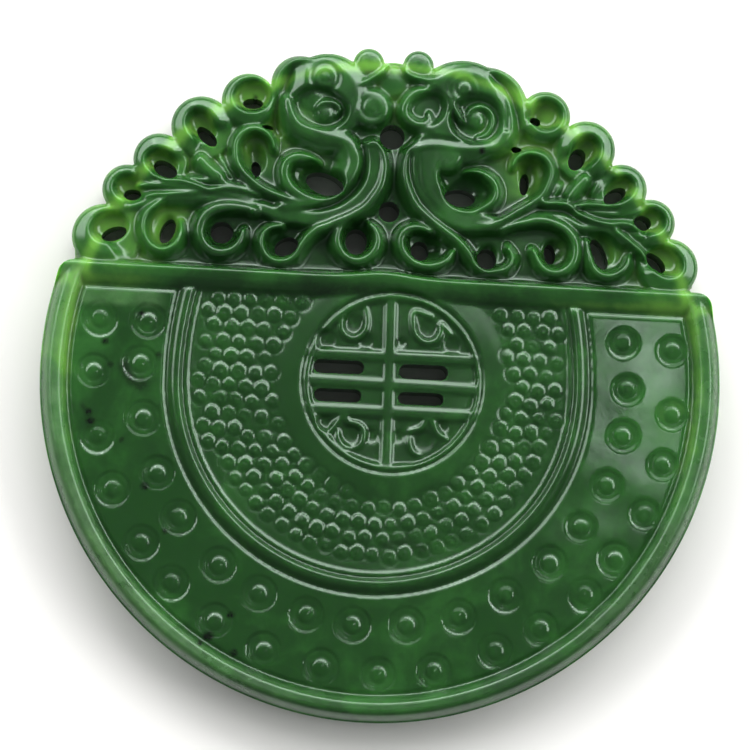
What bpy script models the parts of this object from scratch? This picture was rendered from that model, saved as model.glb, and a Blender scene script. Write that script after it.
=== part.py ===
"""Carved jade pendant: a round plaque cut straight across, with a pierced crest of curls.

The pendant is one stone. It lies on its flat back with the carved face up (+Z) and its
crest towards +Y. The origin is on the back, under the middle of the whole piece.
Every size below is in millimetres; the helpers turn them into metres.
"""
import math

import bmesh
import bpy
from mathutils import Matrix, Vector
from mathutils.geometry import interpolate_bezier

NAME = "jade_pendant"
MM = 0.001
WELD = 0.00001

# Driving sizes of the plaque
DISC_RADIUS = 31.0
CREST_TOP = 30.5
THICKNESS = 5.6
DISC_STEPS = 64
MELT_ANGLE = 3.0
SMOOTH_ANGLE = 35.0
BELOW = -1.0
ABOVE = 7.0
BURIED = 0.1
CHORD_Y = 9.55
CHORD_TILT = -0.4
CORNER_RADIUS = 1.5
RIM_Z = THICKNESS
PANEL_Z = 4.6
GROOVE_Z = 4.1
FIELD_Z = 4.4
BAND_Z = 5.1
CREST_FLOOR_Z = 3.8
CREST_FOOT_Y = 7.9

# The rim along the straight cut, whose section is the plaque's own rim laid straight
CHORD_HALF_LENGTH = 29.6
CHORD_LOWER_Y = 7.2
CHORD_UNDER_Z = 0.6
TROUGH_WIDTH = 56.6
TROUGH_DEPTH = 10.0

# The band that frames the middle field, and the medallion with its lattice
BAND_INNER = 17.8
BAND_OUTER = 18.9
MEDALLION_CENTRE = (1.05, -0.05)
MEDALLION_RADIUS = 7.7
MEDALLION_FLOOR_Z = 3.6
RING_INNER = 8.0
RING_OUTER = 10.2
RING_Z = 5.2
LATTICE_FOOT_Z = 3.0
BAR_Z = 4.9
BAR_WIDTH = 0.8
UPRIGHT_LENGTH = 15.8
CROSS_LENGTH = 15.0
BAR_ROWS = (2.3, -0.1, -2.45)
SLOT_WIDTH = 1.2
SLOT_ROWS = (1.1, -1.4)
SLOT_ENDS = ((-6.1, -1.6), (1.6, 6.0))
QUARTER_CURLS = ((-2.7, 5.2, 210, 350), (4.0, 4.9, -60, 170), (-2.6, -4.9, 30, 250), (4.0, -5.2, 60, 260))
QUARTER_CURL_RADIUS = 1.3
QUARTER_CURL_WIDTH = 0.4
QUARTER_CURL_HEIGHT = 1.1
ROUND_STEPS = 36

# Two rows of drilled bosses, a little off the plaque's centre and spaced by hand
BOSS_CENTRE = (0.35, -0.1)
BOSS_ROWS = (
    (22.2, (168, 178, 191, 204, 216, 230, 242, 254, 265, 278, 290, 302, 315, 326, 338, 350, 361, 372)),
    (26.5, (170, 180, 193, 204, 216, 226, 237, 248, 260, 271, 282, 295, 305, 316, 325, 336, 346, 356, 369)),
)
BOSS_RADIUS = 0.95
BOSS_HEIGHT = 0.75
BOSS_RING_RADIUS = 1.6
BOSS_RING_DEPTH = 0.3
DRILL_SIDES = 10

# The crest's scalloped edge: neighbouring round lobes from the left corner over the top
# to the right corner, each as centre x, centre y and radius
LOBES = (
    (-25.75, 12.1, 2.95), (-23.9, 16.5, 2.25), (-21.1, 19.4, 2.35), (-17.4, 22.6, 2.75),
    (-13.2, 25.2, 2.45), (-8.6, 26.9, 2.6), (-6.0, 26.0, 3.85), (-2.35, 29.1, 1.4),
    (0.0, 27.6, 1.8),
    (2.2, 29.1, 1.4), (6.4, 25.1, 4.7), (8.4, 25.3, 4.0), (14.0, 25.0, 2.3),
    (17.9, 22.1, 2.65), (21.3, 18.6, 2.3), (24.1, 15.6, 2.2), (25.9, 11.6, 2.65),
)
CREST_LEFT_X = -28.6
CREST_RIGHT_X = 28.3

# Raised curls of the crest. Each is part of a circle (centre x, y, radius, first angle,
# last angle, half width) that runs on through the points of its stem
LEFT_CURLS = (
    (-25.6, 12.8, 2.0, 58, 310, 0.75, ()),
    (-24.1, 16.9, 1.35, 67, 262, 0.5, ((-22.2, 16.1), (-19.8, 16.2), (-16.5, 16.6))),
    (-21.15, 19.3, 1.65, 17, 255, 0.55, ((-20.3, 17.5), (-18.4, 17.4), (-14.6, 17.3), (-11.5, 16.3))),
    (-17.5, 22.9, 1.72, 6, 235, 0.5, ()),
    (-12.8, 25.7, 1.65, -5, 255, 0.45, ()),
    (-20.7, 13.1, 1.7, 375, 126, 0.45, ((-20.3, 15.8), (-17.5, 16.1), (-13.0, 16.4))),
    (-15.2, 13.4, 1.85, 355, 85, 0.5, ((-12.3, 15.0), (-9.5, 14.9))),
    (-12.45, 20.8, 1.7, 5, 195, 0.4, ((-13.0, 18.1), (-10.8, 16.7), (-8.2, 16.1))),
    (-8.0, 18.5, 1.85, 15, 275, 0.45, ((-5.3, 16.6), (-3.9, 17.9), (-3.3, 20.2))),
    (-9.7, 12.2, 1.75, 113, 325, 0.5,
     ((-6.6, 13.6), (-4.2, 14.6), (-1.5, 16.7), (-0.6, 19.2), (-1.5, 21.7))),
    (-2.7, 12.8, 1.95, 130, 412, 0.5, ()),
)
RIGHT_CURLS = (
    (25.9, 12.3, 1.8, 110, -130, 0.65, ()),
    (24.6, 16.0, 1.35, 105, -110, 0.45, ((22.6, 15.2), (20.3, 15.3), (17.0, 16.4), (13.6, 17.1))),
    (21.6, 18.6, 1.5, 130, -100, 0.5, ((20.0, 17.0), (17.6, 17.0), (14.4, 17.0))),
    (17.9, 22.0, 1.8, 165, -50, 0.55, ()),
    (14.0, 25.1, 1.65, 185, -160, 0.45, ()),
    (20.4, 12.2, 1.7, 175, 375, 0.45, ()),
    (15.4, 12.6, 1.95, 185, 470, 0.5, ((12.1, 14.9), (9.6, 14.2))),
    (13.1, 19.8, 1.7, 165, -30, 0.4, ((13.1, 16.9), (10.9, 15.6), (8.2, 14.8))),
    (8.0, 17.5, 1.85, 150, -120, 0.45, ((5.4, 16.8), (4.3, 18.6), (4.9, 20.6))),
    (9.7, 12.2, 1.75, 40, -140, 0.5,
     ((6.6, 13.1), (4.4, 14.8), (2.1, 17.1), (1.4, 19.6), (1.9, 21.9))),
    (3.6, 12.7, 1.95, 130, 400, 0.5, ()),
)
HEAD_CURLS = (
    (-1.95, 25.1, 1.45, 200, -80, 0.4, ()),
    (-6.4, 24.7, 1.6, 20, 230, 0.4, ((-6.2, 22.5), (-3.4, 22.0))),
    (-7.4, 24.8, 2.0, 265, 150, 0.35, ((-8.9, 27.6), (-7.0, 29.1), (-4.8, 28.6), (-3.2, 27.0))),
    (2.45, 25.0, 1.45, -20, -230, 0.4, ((3.9, 26.9), (5.2, 26.3), (6.2, 24.3))),
    (7.6, 24.3, 1.5, 165, -60, 0.4, ()),
    (8.0, 24.3, 2.3, -80, 20, 0.4, ((9.6, 26.9), (8.3, 28.7), (6.0, 29.0), (3.4, 28.0))),
)
EYES = ((-6.3, 27.55), (6.5, 27.1))
KNOBS = ((-2.35, 29.1), (2.2, 29.1))
EYE_RADIUS = 0.8
EYE_HEIGHT = 1.2
KNOB_RADIUS = 1.25
KNOB_HEIGHT = 1.5
BUDS = (((-17.3, 19.1), (-14.8, 17.6)), ((17.9, 19.2), (16.2, 17.3)))
BUD_WIDTHS = (0.75, 0.65, 0.5, 0.3)
BUD_HEIGHT = 1.5
# The broad necks that come down from the heads and turn outwards
NECKS = (
    ((-7.0, 22.9), (-4.2, 22.6), (-2.2, 21.4), (-1.7, 19.3), (-2.9, 16.9), (-5.6, 15.4), (-8.8, 15.2)),
    ((7.6, 22.6), (4.6, 22.2), (2.9, 21.2), (2.7, 19.2), (3.6, 17.0), (5.6, 15.2), (8.4, 14.6)),
)
NECK_HALF_WIDTH = 1.15
NECK_HEIGHT = 1.5

# Holes right through the crest: centre x, y, length, width and the turn of the long side
HOLES = (
    (-24.9, 12.4, 2.4, 1.3, 20), (-23.4, 16.05, 1.65, 1.1, 0), (-20.5, 18.5, 2.4, 1.5, -30),
    (-16.85, 21.7, 2.4, 1.2, -45), (-12.8, 25.1, 1.9, 1.0, 0), (-11.35, 22.8, 1.1, 0.5, 0),
    (-20.05, 12.9, 2.4, 1.3, 70), (-15.1, 13.0, 2.1, 2.0, 0), (-9.15, 11.95, 2.3, 1.7, 30),
    (-2.8, 12.7, 2.4, 2.0, 90), (-12.25, 19.0, 1.5, 0.9, 100), (-5.9, 17.9, 3.6, 2.0, -20),
    (0.1, 22.5, 2.3, 2.3, 0), (0.1, 15.6, 1.9, 1.9, 0),
    (24.7, 12.05, 2.3, 1.3, -40), (23.35, 15.65, 1.7, 1.4, 0), (20.7, 18.0, 2.4, 1.3, 35),
    (17.1, 21.2, 2.2, 1.5, 65), (13.1, 24.5, 1.1, 0.9, 0), (11.5, 21.85, 1.0, 0.6, 0),
    (19.5, 12.6, 3.0, 1.4, -65), (15.0, 12.4, 1.9, 1.1, 95), (9.2, 11.65, 2.0, 1.8, 90),
    (3.05, 12.1, 1.9, 1.7, 90), (12.4, 18.75, 2.1, 0.9, 85), (6.5, 17.2, 2.9, 1.7, 0),
)


def empty_the_scene():
    for old in list(bpy.data.objects):
        bpy.data.objects.remove(old, do_unlink=True)


def collection(name):
    group = bpy.data.collections.new(name)
    bpy.context.scene.collection.children.link(group)
    return group


def link_tool(name, mesh, group):
    """A cutter or an adder: it only serves the booleans, which keep its smooth shading."""
    mesh.shade_smooth()
    mesh.set_sharp_from_angle(angle=math.radians(SMOOTH_ANGLE))
    tool = bpy.data.objects.new(name, mesh)
    group.objects.link(tool)
    tool.hide_render = True
    tool.display_type = "WIRE"
    return tool


def mesh_of_curve(name, curve, matrix):
    """Turn a curve into a closed mesh, weld its caps, and drop the curve."""
    holder = bpy.data.objects.new(name + "_curve", curve)
    bpy.context.scene.collection.objects.link(holder)
    holder.matrix_world = matrix
    bpy.context.view_layer.update()
    seen = holder.evaluated_get(bpy.context.evaluated_depsgraph_get())
    mesh = bpy.data.meshes.new_from_object(seen)
    bm = bmesh.new()
    bm.from_mesh(mesh)
    bmesh.ops.remove_doubles(bm, verts=bm.verts, dist=WELD)
    bmesh.ops.transform(bm, matrix=holder.matrix_world, verts=bm.verts)
    bmesh.ops.recalc_face_normals(bm, faces=bm.faces)
    bm.to_mesh(mesh)
    bm.free()
    mesh.name = name
    bpy.data.objects.remove(holder)
    return mesh


def prism(name, outline, bottom, top, turn=Matrix.Identity(4)):
    """A flat outline standing from one height to another."""
    curve = bpy.data.curves.new(name, "CURVE")
    curve.dimensions = "2D"
    curve.fill_mode = "BOTH"
    curve.extrude = (top - bottom) / 2 * MM
    line = curve.splines.new("POLY")
    line.points.add(len(outline) - 1)
    for point, (x, y) in zip(line.points, outline):
        point.co = (x * MM, y * MM, 0, 1)
    line.use_cyclic_u = True
    lift = Matrix.Translation((0, 0, (bottom + top) / 2 * MM))
    return mesh_of_curve(name, curve, turn @ lift)


def ridge(name, points, widths, foot, height):
    """A rounded ridge: a tapered tube on its half height, stretched upwards."""
    curve = bpy.data.curves.new(name, "CURVE")
    curve.dimensions = "3D"
    curve.bevel_depth = MM
    curve.bevel_resolution = 0
    curve.use_fill_caps = True
    line = curve.splines.new("POLY")
    line.points.add(len(points) - 1)
    for point, (x, y), width in zip(line.points, points, widths):
        point.co = (x * MM, y * MM, 0, 1)
        point.radius = width
    stretch = Matrix.Diagonal((1, 1, height / max(widths), 1))
    return mesh_of_curve(name, curve, Matrix.Translation((0, 0, foot * MM)) @ stretch)


def turned(name, profile, steps, group):
    """A turned solid from its profile, given down the outer side from axis to axis."""
    mesh = bpy.data.meshes.new(name)
    verts = [(r * MM, 0, z * MM) for r, z in profile]
    mesh.from_pydata(verts, [(i, i + 1) for i in range(len(verts) - 1)], [])
    body = bpy.data.objects.new(name, mesh)
    group.objects.link(body)
    screw = body.modifiers.new("Turn", "SCREW")
    screw.steps = steps
    screw.render_steps = steps
    screw.use_merge_vertices = True
    screw.merge_threshold = WELD
    return body


def cylinder(bm, x, y, bottom, top, length, width, turn, segments):
    """An upright oval post."""
    place = (
        Matrix.Translation((x * MM, y * MM, (bottom + top) / 2 * MM))
        @ Matrix.Rotation(math.radians(turn), 4, "Z")
        @ Matrix.Diagonal((length / 2 * MM, width / 2 * MM, 1, 1))
    )
    bmesh.ops.create_cone(bm, cap_ends=True, segments=segments, radius1=1, radius2=1,
                          depth=(top - bottom) * MM, matrix=place)


def dome(bm, x, y, foot, radius, height, segments=8):
    """A low round boss whose lower half is buried."""
    place = (
        Matrix.Translation((x * MM, y * MM, foot * MM))
        @ Matrix.Diagonal((radius * MM, radius * MM, height * MM, 1))
    )
    bmesh.ops.create_uvsphere(bm, u_segments=segments, v_segments=4, radius=1, matrix=place)


def filled(name, build):
    """Run a function that fills a bmesh and give back the mesh."""
    bm = bmesh.new()
    build(bm)
    mesh = bpy.data.meshes.new(name)
    bm.to_mesh(mesh)
    bm.free()
    return mesh


def arc(x, y, radius, first, last, step=30):
    """Points along part of a circle, angles in degrees."""
    count = max(2, round(abs(last - first) / step))
    angles = [math.radians(first + (last - first) * i / count) for i in range(count + 1)]
    return [(x + radius * math.cos(a), y + radius * math.sin(a)) for a in angles]


def smooth_line(knots, pieces=3):
    """A smooth curve through its knots, as short straight pieces."""
    corners = [Vector((x, y, 0)) for x, y in knots]
    line = []
    for i in range(len(corners) - 1):
        before = corners[max(i - 1, 0)]
        here, there = corners[i], corners[i + 1]
        after = corners[min(i + 2, len(corners) - 1)]
        pull_out = here + (there - before) / 6
        pull_in = there - (after - here) / 6
        line += interpolate_bezier(here, pull_out, pull_in, there, pieces + 1)[:-1]
    line.append(corners[-1])
    return [(p.x, p.y) for p in line]


def tapered(count, width, thin=0.45, share=0.25):
    """Widths along a ridge: full in the middle and thinner at both ends."""
    widths = []
    for i in range(count):
        end = min(i, count - 1 - i) / max(1, count - 1)
        widths.append(width * (thin + (1 - thin) * min(1, end / share)))
    return widths


def curl_points(x, y, radius, first, last, stem):
    """The line of a curl: its round part, then its stem."""
    line = arc(x, y, radius, first, last)
    if stem:
        line = line[:-1] + smooth_line([line[-1], *stem], 2)
    return line


def meeting_point(left, right):
    """Where two neighbouring circles cross, on their outer side."""
    (x0, y0, r0), (x1, y1, r1) = left, right
    gap = math.hypot(x1 - x0, y1 - y0)
    along = (gap * gap + r0 * r0 - r1 * r1) / (2 * gap)
    across = math.sqrt(r0 * r0 - along * along)
    ux, uy = (x1 - x0) / gap, (y1 - y0) / gap
    return x0 + along * ux - across * uy, y0 + along * uy + across * ux


def scalloped_outline(foot):
    """The crest's edge, walked clockwise from its left foot to its right foot."""
    stops = [(CREST_LEFT_X, LOBES[0][1] - 1.0)]
    stops += [meeting_point(a, b) for a, b in zip(LOBES, LOBES[1:])]
    stops.append((CREST_RIGHT_X, LOBES[-1][1] - 1.0))
    outline = [(CREST_LEFT_X, foot)]
    for (x, y, radius), start, end in zip(LOBES, stops, stops[1:]):
        first = math.degrees(math.atan2(start[1] - y, start[0] - x))
        last = math.degrees(math.atan2(end[1] - y, end[0] - x))
        if last > first:
            last -= 360
        outline += arc(x, y, radius, first, last, 18)[:-1]
    outline += [stops[-1], (CREST_RIGHT_X, foot)]
    return outline


def plaque_outline():
    """The plaque seen from above: a disc cut by a chord, with rounded corners."""
    cut = math.degrees(math.asin((CHORD_Y - CORNER_RADIUS) / (DISC_RADIUS - CORNER_RADIUS)))
    reach = (DISC_RADIUS - CORNER_RADIUS) * math.cos(math.radians(cut))
    corner_y = CHORD_Y - CORNER_RADIUS
    bottom = arc(0, 0, DISC_RADIUS + 0.3, 180 - cut, 360 + cut, 6)
    right = arc(reach, corner_y, CORNER_RADIUS, cut, 90, 18)
    left = arc(-reach, corner_y, CORNER_RADIUS, 90, 180 - cut, 18)
    return bottom + right + left


def plaque_profile():
    """Half of the plaque cut through its middle, from the face's centre to the back's."""
    return [
        (0, FIELD_Z), (17.35, FIELD_Z), (BAND_INNER - 0.1, GROOVE_Z + 0.15), (BAND_INNER + 0.1, BAND_Z),
        (BAND_OUTER - 0.2, BAND_Z - 0.25), (BAND_OUTER + 0.3, GROOVE_Z), (19.75, PANEL_Z),
        (28.2, PANEL_Z), (28.4, GROOVE_Z + 0.2), (29.15, RIM_Z - 0.05), (29.8, RIM_Z),
        (30.5, RIM_Z - 0.8), (DISC_RADIUS, RIM_Z - 2.2), (DISC_RADIUS, 1.2), (30.2, 0), (0, 0),
    ]


def chord_bar():
    """The rim along the straight cut: a bar with the rim's own section."""
    section = [
        (CHORD_LOWER_Y, CHORD_UNDER_Z), (CHORD_LOWER_Y, PANEL_Z - 0.1), (7.35, GROOVE_Z + 0.2),
        (7.7, GROOVE_Z + 0.2), (8.3, RIM_Z - 0.9), (8.75, RIM_Z - 0.2), (9.0, RIM_Z), (9.35, RIM_Z),
        (CHORD_Y + 0.4, RIM_Z - 0.5), (CHORD_Y + 0.4, CHORD_UNDER_Z),
    ]
    lay = Matrix(((0, 0, 1, 0), (1, 0, 0, 0), (0, 1, 0, 0), (0, 0, 0, 1)))
    tilt = Matrix.Rotation(math.radians(CHORD_TILT), 4, "Z")
    return prism("chord_bar", section, -CHORD_HALF_LENGTH, CHORD_HALF_LENGTH, tilt @ lay)


def chord_trough(bm):
    """Clears the panels' upper edge, where the chord's bar stands."""
    middle = Vector((0, CHORD_LOWER_Y + 0.15 + TROUGH_DEPTH / 2, GROOVE_Z + 0.1 + 1)) * MM
    size = Matrix.Diagonal((TROUGH_WIDTH * MM, TROUGH_DEPTH * MM, 2 * MM, 1))
    tilt = Matrix.Rotation(math.radians(CHORD_TILT), 4, "Z")
    bmesh.ops.create_cube(bm, size=1, matrix=tilt @ Matrix.Translation(middle) @ size)


def medallion_ring(group):
    profile = [
        (RING_INNER, LATTICE_FOOT_Z), (RING_OUTER, LATTICE_FOOT_Z), (RING_OUTER, FIELD_Z - 0.05),
        (RING_OUTER - 1.0, RING_Z), (RING_INNER + 0.5, RING_Z), (RING_INNER, RING_Z - 0.3),
        (RING_INNER, LATTICE_FOOT_Z),
    ]
    ring = turned("medallion_ring", profile, ROUND_STEPS, group)
    ring.location = (MEDALLION_CENTRE[0] * MM, MEDALLION_CENTRE[1] * MM, 0)
    return ring


def medallion_floor(bm):
    x, y = MEDALLION_CENTRE
    width = 2 * MEDALLION_RADIUS
    cylinder(bm, x, y, MEDALLION_FLOOR_Z, ABOVE, width, width, 0, ROUND_STEPS)


def lattice_bars(bm):
    x, y = MEDALLION_CENTRE
    height = BAR_Z - LATTICE_FOOT_Z
    boxes = [(x - 0.15, y, BAR_WIDTH, UPRIGHT_LENGTH)]
    boxes += [(x, row, CROSS_LENGTH, BAR_WIDTH) for row in BAR_ROWS]
    for bx, by, wide, deep in boxes:
        place = (
            Matrix.Translation((bx * MM, by * MM, (LATTICE_FOOT_Z + height / 2) * MM))
            @ Matrix.Diagonal((wide * MM, deep * MM, height * MM, 1))
        )
        bmesh.ops.create_cube(bm, size=1, matrix=place)


def slot_outline(first, last, row):
    """A long hole with round ends."""
    half = SLOT_WIDTH / 2
    right = arc(last - half, row, half, -90, 90, 45)
    left = arc(first + half, row, half, 90, 270, 45)
    return right + left


def boss_places():
    for radius, angles in BOSS_ROWS:
        for angle in angles:
            turn = math.radians(angle)
            yield (BOSS_CENTRE[0] + radius * math.cos(turn),
                   BOSS_CENTRE[1] + radius * math.sin(turn))


def boolean(target, operation, group):
    step = target.modifiers.new(operation.title(), "BOOLEAN")
    step.operation = operation
    step.solver = "EXACT"
    step.operand_type = "COLLECTION"
    step.collection = group


def jade_material():
    jade = bpy.data.materials.new("jade")
    jade.use_nodes = True
    shader = jade.node_tree.nodes["Principled BSDF"]
    shader.inputs["Base Color"].default_value = (0.03, 0.13, 0.03, 1)
    shader.inputs["Roughness"].default_value = 0.18
    shader.inputs["Metallic"].default_value = 0.0
    return jade


def add_boolean_round(body, operation, name, meshes):
    """One boolean step with all its tools in a collection of their own."""
    group = bpy.data.collections.new(name)
    CUTTERS.children.link(group)
    for index, mesh in enumerate(meshes):
        link_tool(f"{name}_{index}", mesh, group)
    boolean(body, operation, group)
    return group


empty_the_scene()
PARTS = collection(NAME + "_parts")
CUTTERS = collection(NAME + "_cutters")

# The plaque: turned, trimmed along the chord, with the chord's rim and the medallion's ring
pendant = turned(NAME, plaque_profile(), DISC_STEPS, PARTS)
add_boolean_round(pendant, "DIFFERENCE", "trough", [filled("trough", chord_trough)])
adders = add_boolean_round(pendant, "UNION", "frames", [chord_bar()])
ring = medallion_ring(adders)
ring.hide_render = True
ring.display_type = "WIRE"
add_boolean_round(pendant, "INTERSECT", "outline", [prism("outline", plaque_outline(), BELOW, ABOVE)])

# The crest: a scalloped plate, then every raised curl
curl_foot = CREST_FLOOR_Z - BURIED
neck_foot = CREST_FLOOR_Z - 2 * BURIED
crest = [prism("crest_plate", scalloped_outline(CREST_FOOT_Y), 0, CREST_FLOOR_Z)]
for x, y, radius, first, last, width, stem in LEFT_CURLS + RIGHT_CURLS + HEAD_CURLS:
    line = curl_points(x, y, radius, first, last, stem)
    crest.append(ridge("curl", line, tapered(len(line), width), curl_foot, RIM_Z - CREST_FLOOR_Z))
for knots in NECKS:
    line = smooth_line(knots, 2)
    crest.append(ridge("neck", line, tapered(len(line), NECK_HALF_WIDTH), neck_foot, NECK_HEIGHT))
for knots in BUDS:
    crest.append(ridge("bud", smooth_line(knots, 3), BUD_WIDTHS, neck_foot, BUD_HEIGHT))
crest.append(filled("eyes", lambda bm: [
    dome(bm, x, y, curl_foot, EYE_RADIUS, EYE_HEIGHT) for x, y in EYES]))
crest.append(filled("knobs", lambda bm: [
    dome(bm, x, y, curl_foot, KNOB_RADIUS, KNOB_HEIGHT) for x, y in KNOBS]))
add_boolean_round(pendant, "UNION", "crest", crest)

# The medallion's floor, its bars and curls
add_boolean_round(pendant, "DIFFERENCE", "floors", [filled("floor", medallion_floor)])
carving = [filled("bar", lattice_bars)]
for x, y, first, last in QUARTER_CURLS:
    line = arc(x, y, QUARTER_CURL_RADIUS, first, last)
    widths = tapered(len(line), QUARTER_CURL_WIDTH)
    carving.append(ridge("quarter_curl", line, widths, MEDALLION_FLOOR_Z - BURIED, QUARTER_CURL_HEIGHT))
add_boolean_round(pendant, "UNION", "lattice", carving)

# The drilled bosses
places = list(boss_places())
depth = PANEL_Z - BOSS_RING_DEPTH
drill = 2 * BOSS_RING_RADIUS
rings = filled("rings", lambda bm: [
    cylinder(bm, x, y, depth, ABOVE, drill, drill, 0, DRILL_SIDES) for x, y in places])
add_boolean_round(pendant, "DIFFERENCE", "ring", [rings])
domes = filled("domes", lambda bm: [
    dome(bm, x, y, depth - BURIED / 2, BOSS_RADIUS, BOSS_HEIGHT) for x, y in places])
add_boolean_round(pendant, "UNION", "dome", [domes])

# Everything that goes right through
holes = []
for x, y, length, width, turn in HOLES:
    holes.append(filled("hole", lambda bm: cylinder(
        bm, x, y, BELOW, ABOVE, length, width, turn, DRILL_SIDES)))
for first, last in SLOT_ENDS:
    for row in SLOT_ROWS:
        holes.append(prism("slot", slot_outline(first, last, row), BELOW, ABOVE))
add_boolean_round(pendant, "DIFFERENCE", "hole", holes)

# Melt the small faces that the cuts left on flat ground
melt = pendant.modifiers.new("Melt flats", "DECIMATE")
melt.decimate_type = "DISSOLVE"
melt.angle_limit = math.radians(MELT_ANGLE)

# Centre the finished stone on the origin and give it its material
pendant.location.y = (DISC_RADIUS - CREST_TOP) / 2 * MM
for group in CUTTERS.children:
    for tool in group.objects:
        tool.location.y += pendant.location.y
pendant.data.materials.append(jade_material())
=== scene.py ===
# %% [markdown]
# # A carved jade pendant
#
# The pendant is one flat piece of nephrite: a round plaque that is cut straight across, and above
# the cut a crest of curls that is drilled right through. Everything on its face was ground away
# with small wheels and drills, so this lesson carves it the same way. It starts from a flat sheet
# of heights, raises and sinks one feature after the other, and only then makes the mesh.

import math

import bpy
import numpy as np
from mathutils import Matrix, Vector


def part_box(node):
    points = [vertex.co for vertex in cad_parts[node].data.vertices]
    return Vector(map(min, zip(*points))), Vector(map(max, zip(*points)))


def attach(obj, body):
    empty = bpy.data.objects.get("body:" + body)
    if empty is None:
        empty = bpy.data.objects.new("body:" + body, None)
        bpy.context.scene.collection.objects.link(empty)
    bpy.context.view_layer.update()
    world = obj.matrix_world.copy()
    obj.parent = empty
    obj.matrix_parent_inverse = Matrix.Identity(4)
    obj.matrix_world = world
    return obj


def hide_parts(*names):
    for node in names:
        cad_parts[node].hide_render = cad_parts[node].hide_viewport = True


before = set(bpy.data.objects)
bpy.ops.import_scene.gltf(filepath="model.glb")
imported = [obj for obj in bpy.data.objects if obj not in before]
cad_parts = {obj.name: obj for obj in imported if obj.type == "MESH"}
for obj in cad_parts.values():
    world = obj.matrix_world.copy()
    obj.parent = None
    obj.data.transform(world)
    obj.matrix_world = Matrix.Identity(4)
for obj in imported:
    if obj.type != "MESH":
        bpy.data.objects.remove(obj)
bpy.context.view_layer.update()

NODE = "jade_pendant"
low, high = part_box(NODE)
DISC_RADIUS = 31.0
MM = (high.x - low.x) / (2 * DISC_RADIUS)
CENTRE = Vector(((low.x + high.x) / 2, low.y + DISC_RADIUS * MM, low.z))
THICKNESS = (high.z - low.z) / MM
print(f"one millimetre is {MM:.6f} m, the stone is {THICKNESS:.2f} mm thick")

# %% [markdown]
# ## The sheet of heights
#
# A relief that is never undercut is a height for every point of the plan. Numpy holds such a sheet
# as one array, so each tool below is a few lines of arithmetic on a small window of it. A modelled
# curl would need dozens of faces placed by hand; here it is one call with a handful of sizes. All
# sizes are in millimetres from the middle of the disc, with the crest upwards.

# %% Lay out the sheet
PITCH = 0.09
EDGE = DISC_RADIUS + 3 * PITCH
side = np.arange(-EDGE, EDGE + PITCH, PITCH)
X, Y = np.meshgrid(side, side)
Z = np.zeros_like(X)
print("sheet of", X.shape[0], "by", X.shape[1], "heights")

# %% [markdown]
# ## The plaque
#
# The plaque is a low dish with a raised rim. In section the rim is a rounded edge, an almost flat
# top and a cove that runs down into a fine groove, and the same section runs along the straight
# cut. Reading one section by the distance from the edge keeps both alike, and the higher of the two
# makes a clean mitre in the corners.


# %% Smooth steps and sections
def smooth_step(value, start, end):
    """0 before start, 1 after end, and an even S between them."""
    t = np.clip((value - start) / (end - start), 0, 1)
    return t * t * (3 - 2 * t)


def curve_through(knots, spacing=0.12):
    """A smooth line through a few points, as many short pieces."""
    points = np.array(knots, float)
    if len(points) == 2:
        count = max(2, int(np.hypot(*(points[1] - points[0])) / spacing))
        return points[0] + (points[1] - points[0]) * np.linspace(0, 1, count)[:, None]
    ends = np.vstack([2 * points[0] - points[1], points, 2 * points[-1] - points[-2]])
    pieces = []
    for before, here, there, after in zip(ends, ends[1:], ends[2:], ends[3:]):
        count = max(2, int(np.hypot(*(there - here)) / spacing))
        t = (np.arange(count) / count)[:, None]
        pieces.append(0.5 * (
            2 * here + (there - before) * t
            + (2 * before - 5 * here + 4 * there - after) * t ** 2
            + (3 * here - before - 3 * there + after) * t ** 3
        ))
    pieces.append(points[-1:])
    return np.vstack(pieces)


def section(position, knots):
    """Height across a moulding, from a few (position, height) corners joined smoothly."""
    corners = curve_through(knots, 0.03)
    return np.interp(position, corners[:, 0], corners[:, 1])


# %% Rim, straight cut, panel and field
RIM_TOP = THICKNESS - 0.02
PANEL = 4.62
PANEL_RADIUS = 28.3
FIELD = 4.38
GROOVE_FLOOR = 4.3

# The cut runs a hair downhill to the right, and swells under the middle of the crest
CHORD_MIDDLE = 9.62
CHORD_SLOPE = -0.0075
CHORD_SWELL = 0.42
CHORD_WIDTH = 2.35
radius = np.hypot(X, Y)
chord_edge = CHORD_MIDDLE + CHORD_SLOPE * X + CHORD_SWELL * np.exp(-((X + 0.1) / 3.0) ** 2)
from_chord = chord_edge - Y

RIM_SECTION = [
    (27.9, -1.0), (28.25, GROOVE_FLOOR - 0.4), (28.5, GROOVE_FLOOR + 0.1), (28.78, 4.82), (29.0, 5.28),
    (29.2, 5.46), (29.65, 5.52), (29.85, RIM_TOP), (30.05, 5.5), (30.35, 5.25), (30.65, 4.75),
    (30.88, 4.1), (31.0, 3.3), (31.5, 1.0),
]
CHORD_SECTION = [
    (-0.4, 1.0), (-0.1, 4.6), (0.05, 5.3), (0.22, 5.54), (0.42, RIM_TOP), (0.7, 5.5), (1.1, 5.36),
    (1.5, 5.1), (1.85, 4.78), (2.15, GROOVE_FLOOR + 0.1), (CHORD_WIDTH, GROOVE_FLOOR - 0.4), (2.65, -1.0),
]
rim = section(radius, RIM_SECTION)
chord = section(from_chord, CHORD_SECTION)
panel_edge = np.minimum(PANEL_RADIUS - radius, from_chord - CHORD_WIDTH)
base = GROOVE_FLOOR + (PANEL - GROOVE_FLOOR) * smooth_step(panel_edge, -0.2, 0.18)
print("panel at", PANEL, "mm, straight cut at", CHORD_MIDDLE, "mm")

# %% [markdown]
# ## The band
#
# A raised band in the shape of a U parts the panel from the sunk field. It was cut by eye, with
# straighter sides above the middle. A curve swept along a path would keep one width all the way, so
# the band is a section again, read by a distance that is stretched where the sides run straighter.

# %% The U-shaped band and the field inside it
BAND_CENTRE = (-0.25, -0.1)
BAND_OUTSIDE = 19.5


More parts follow.
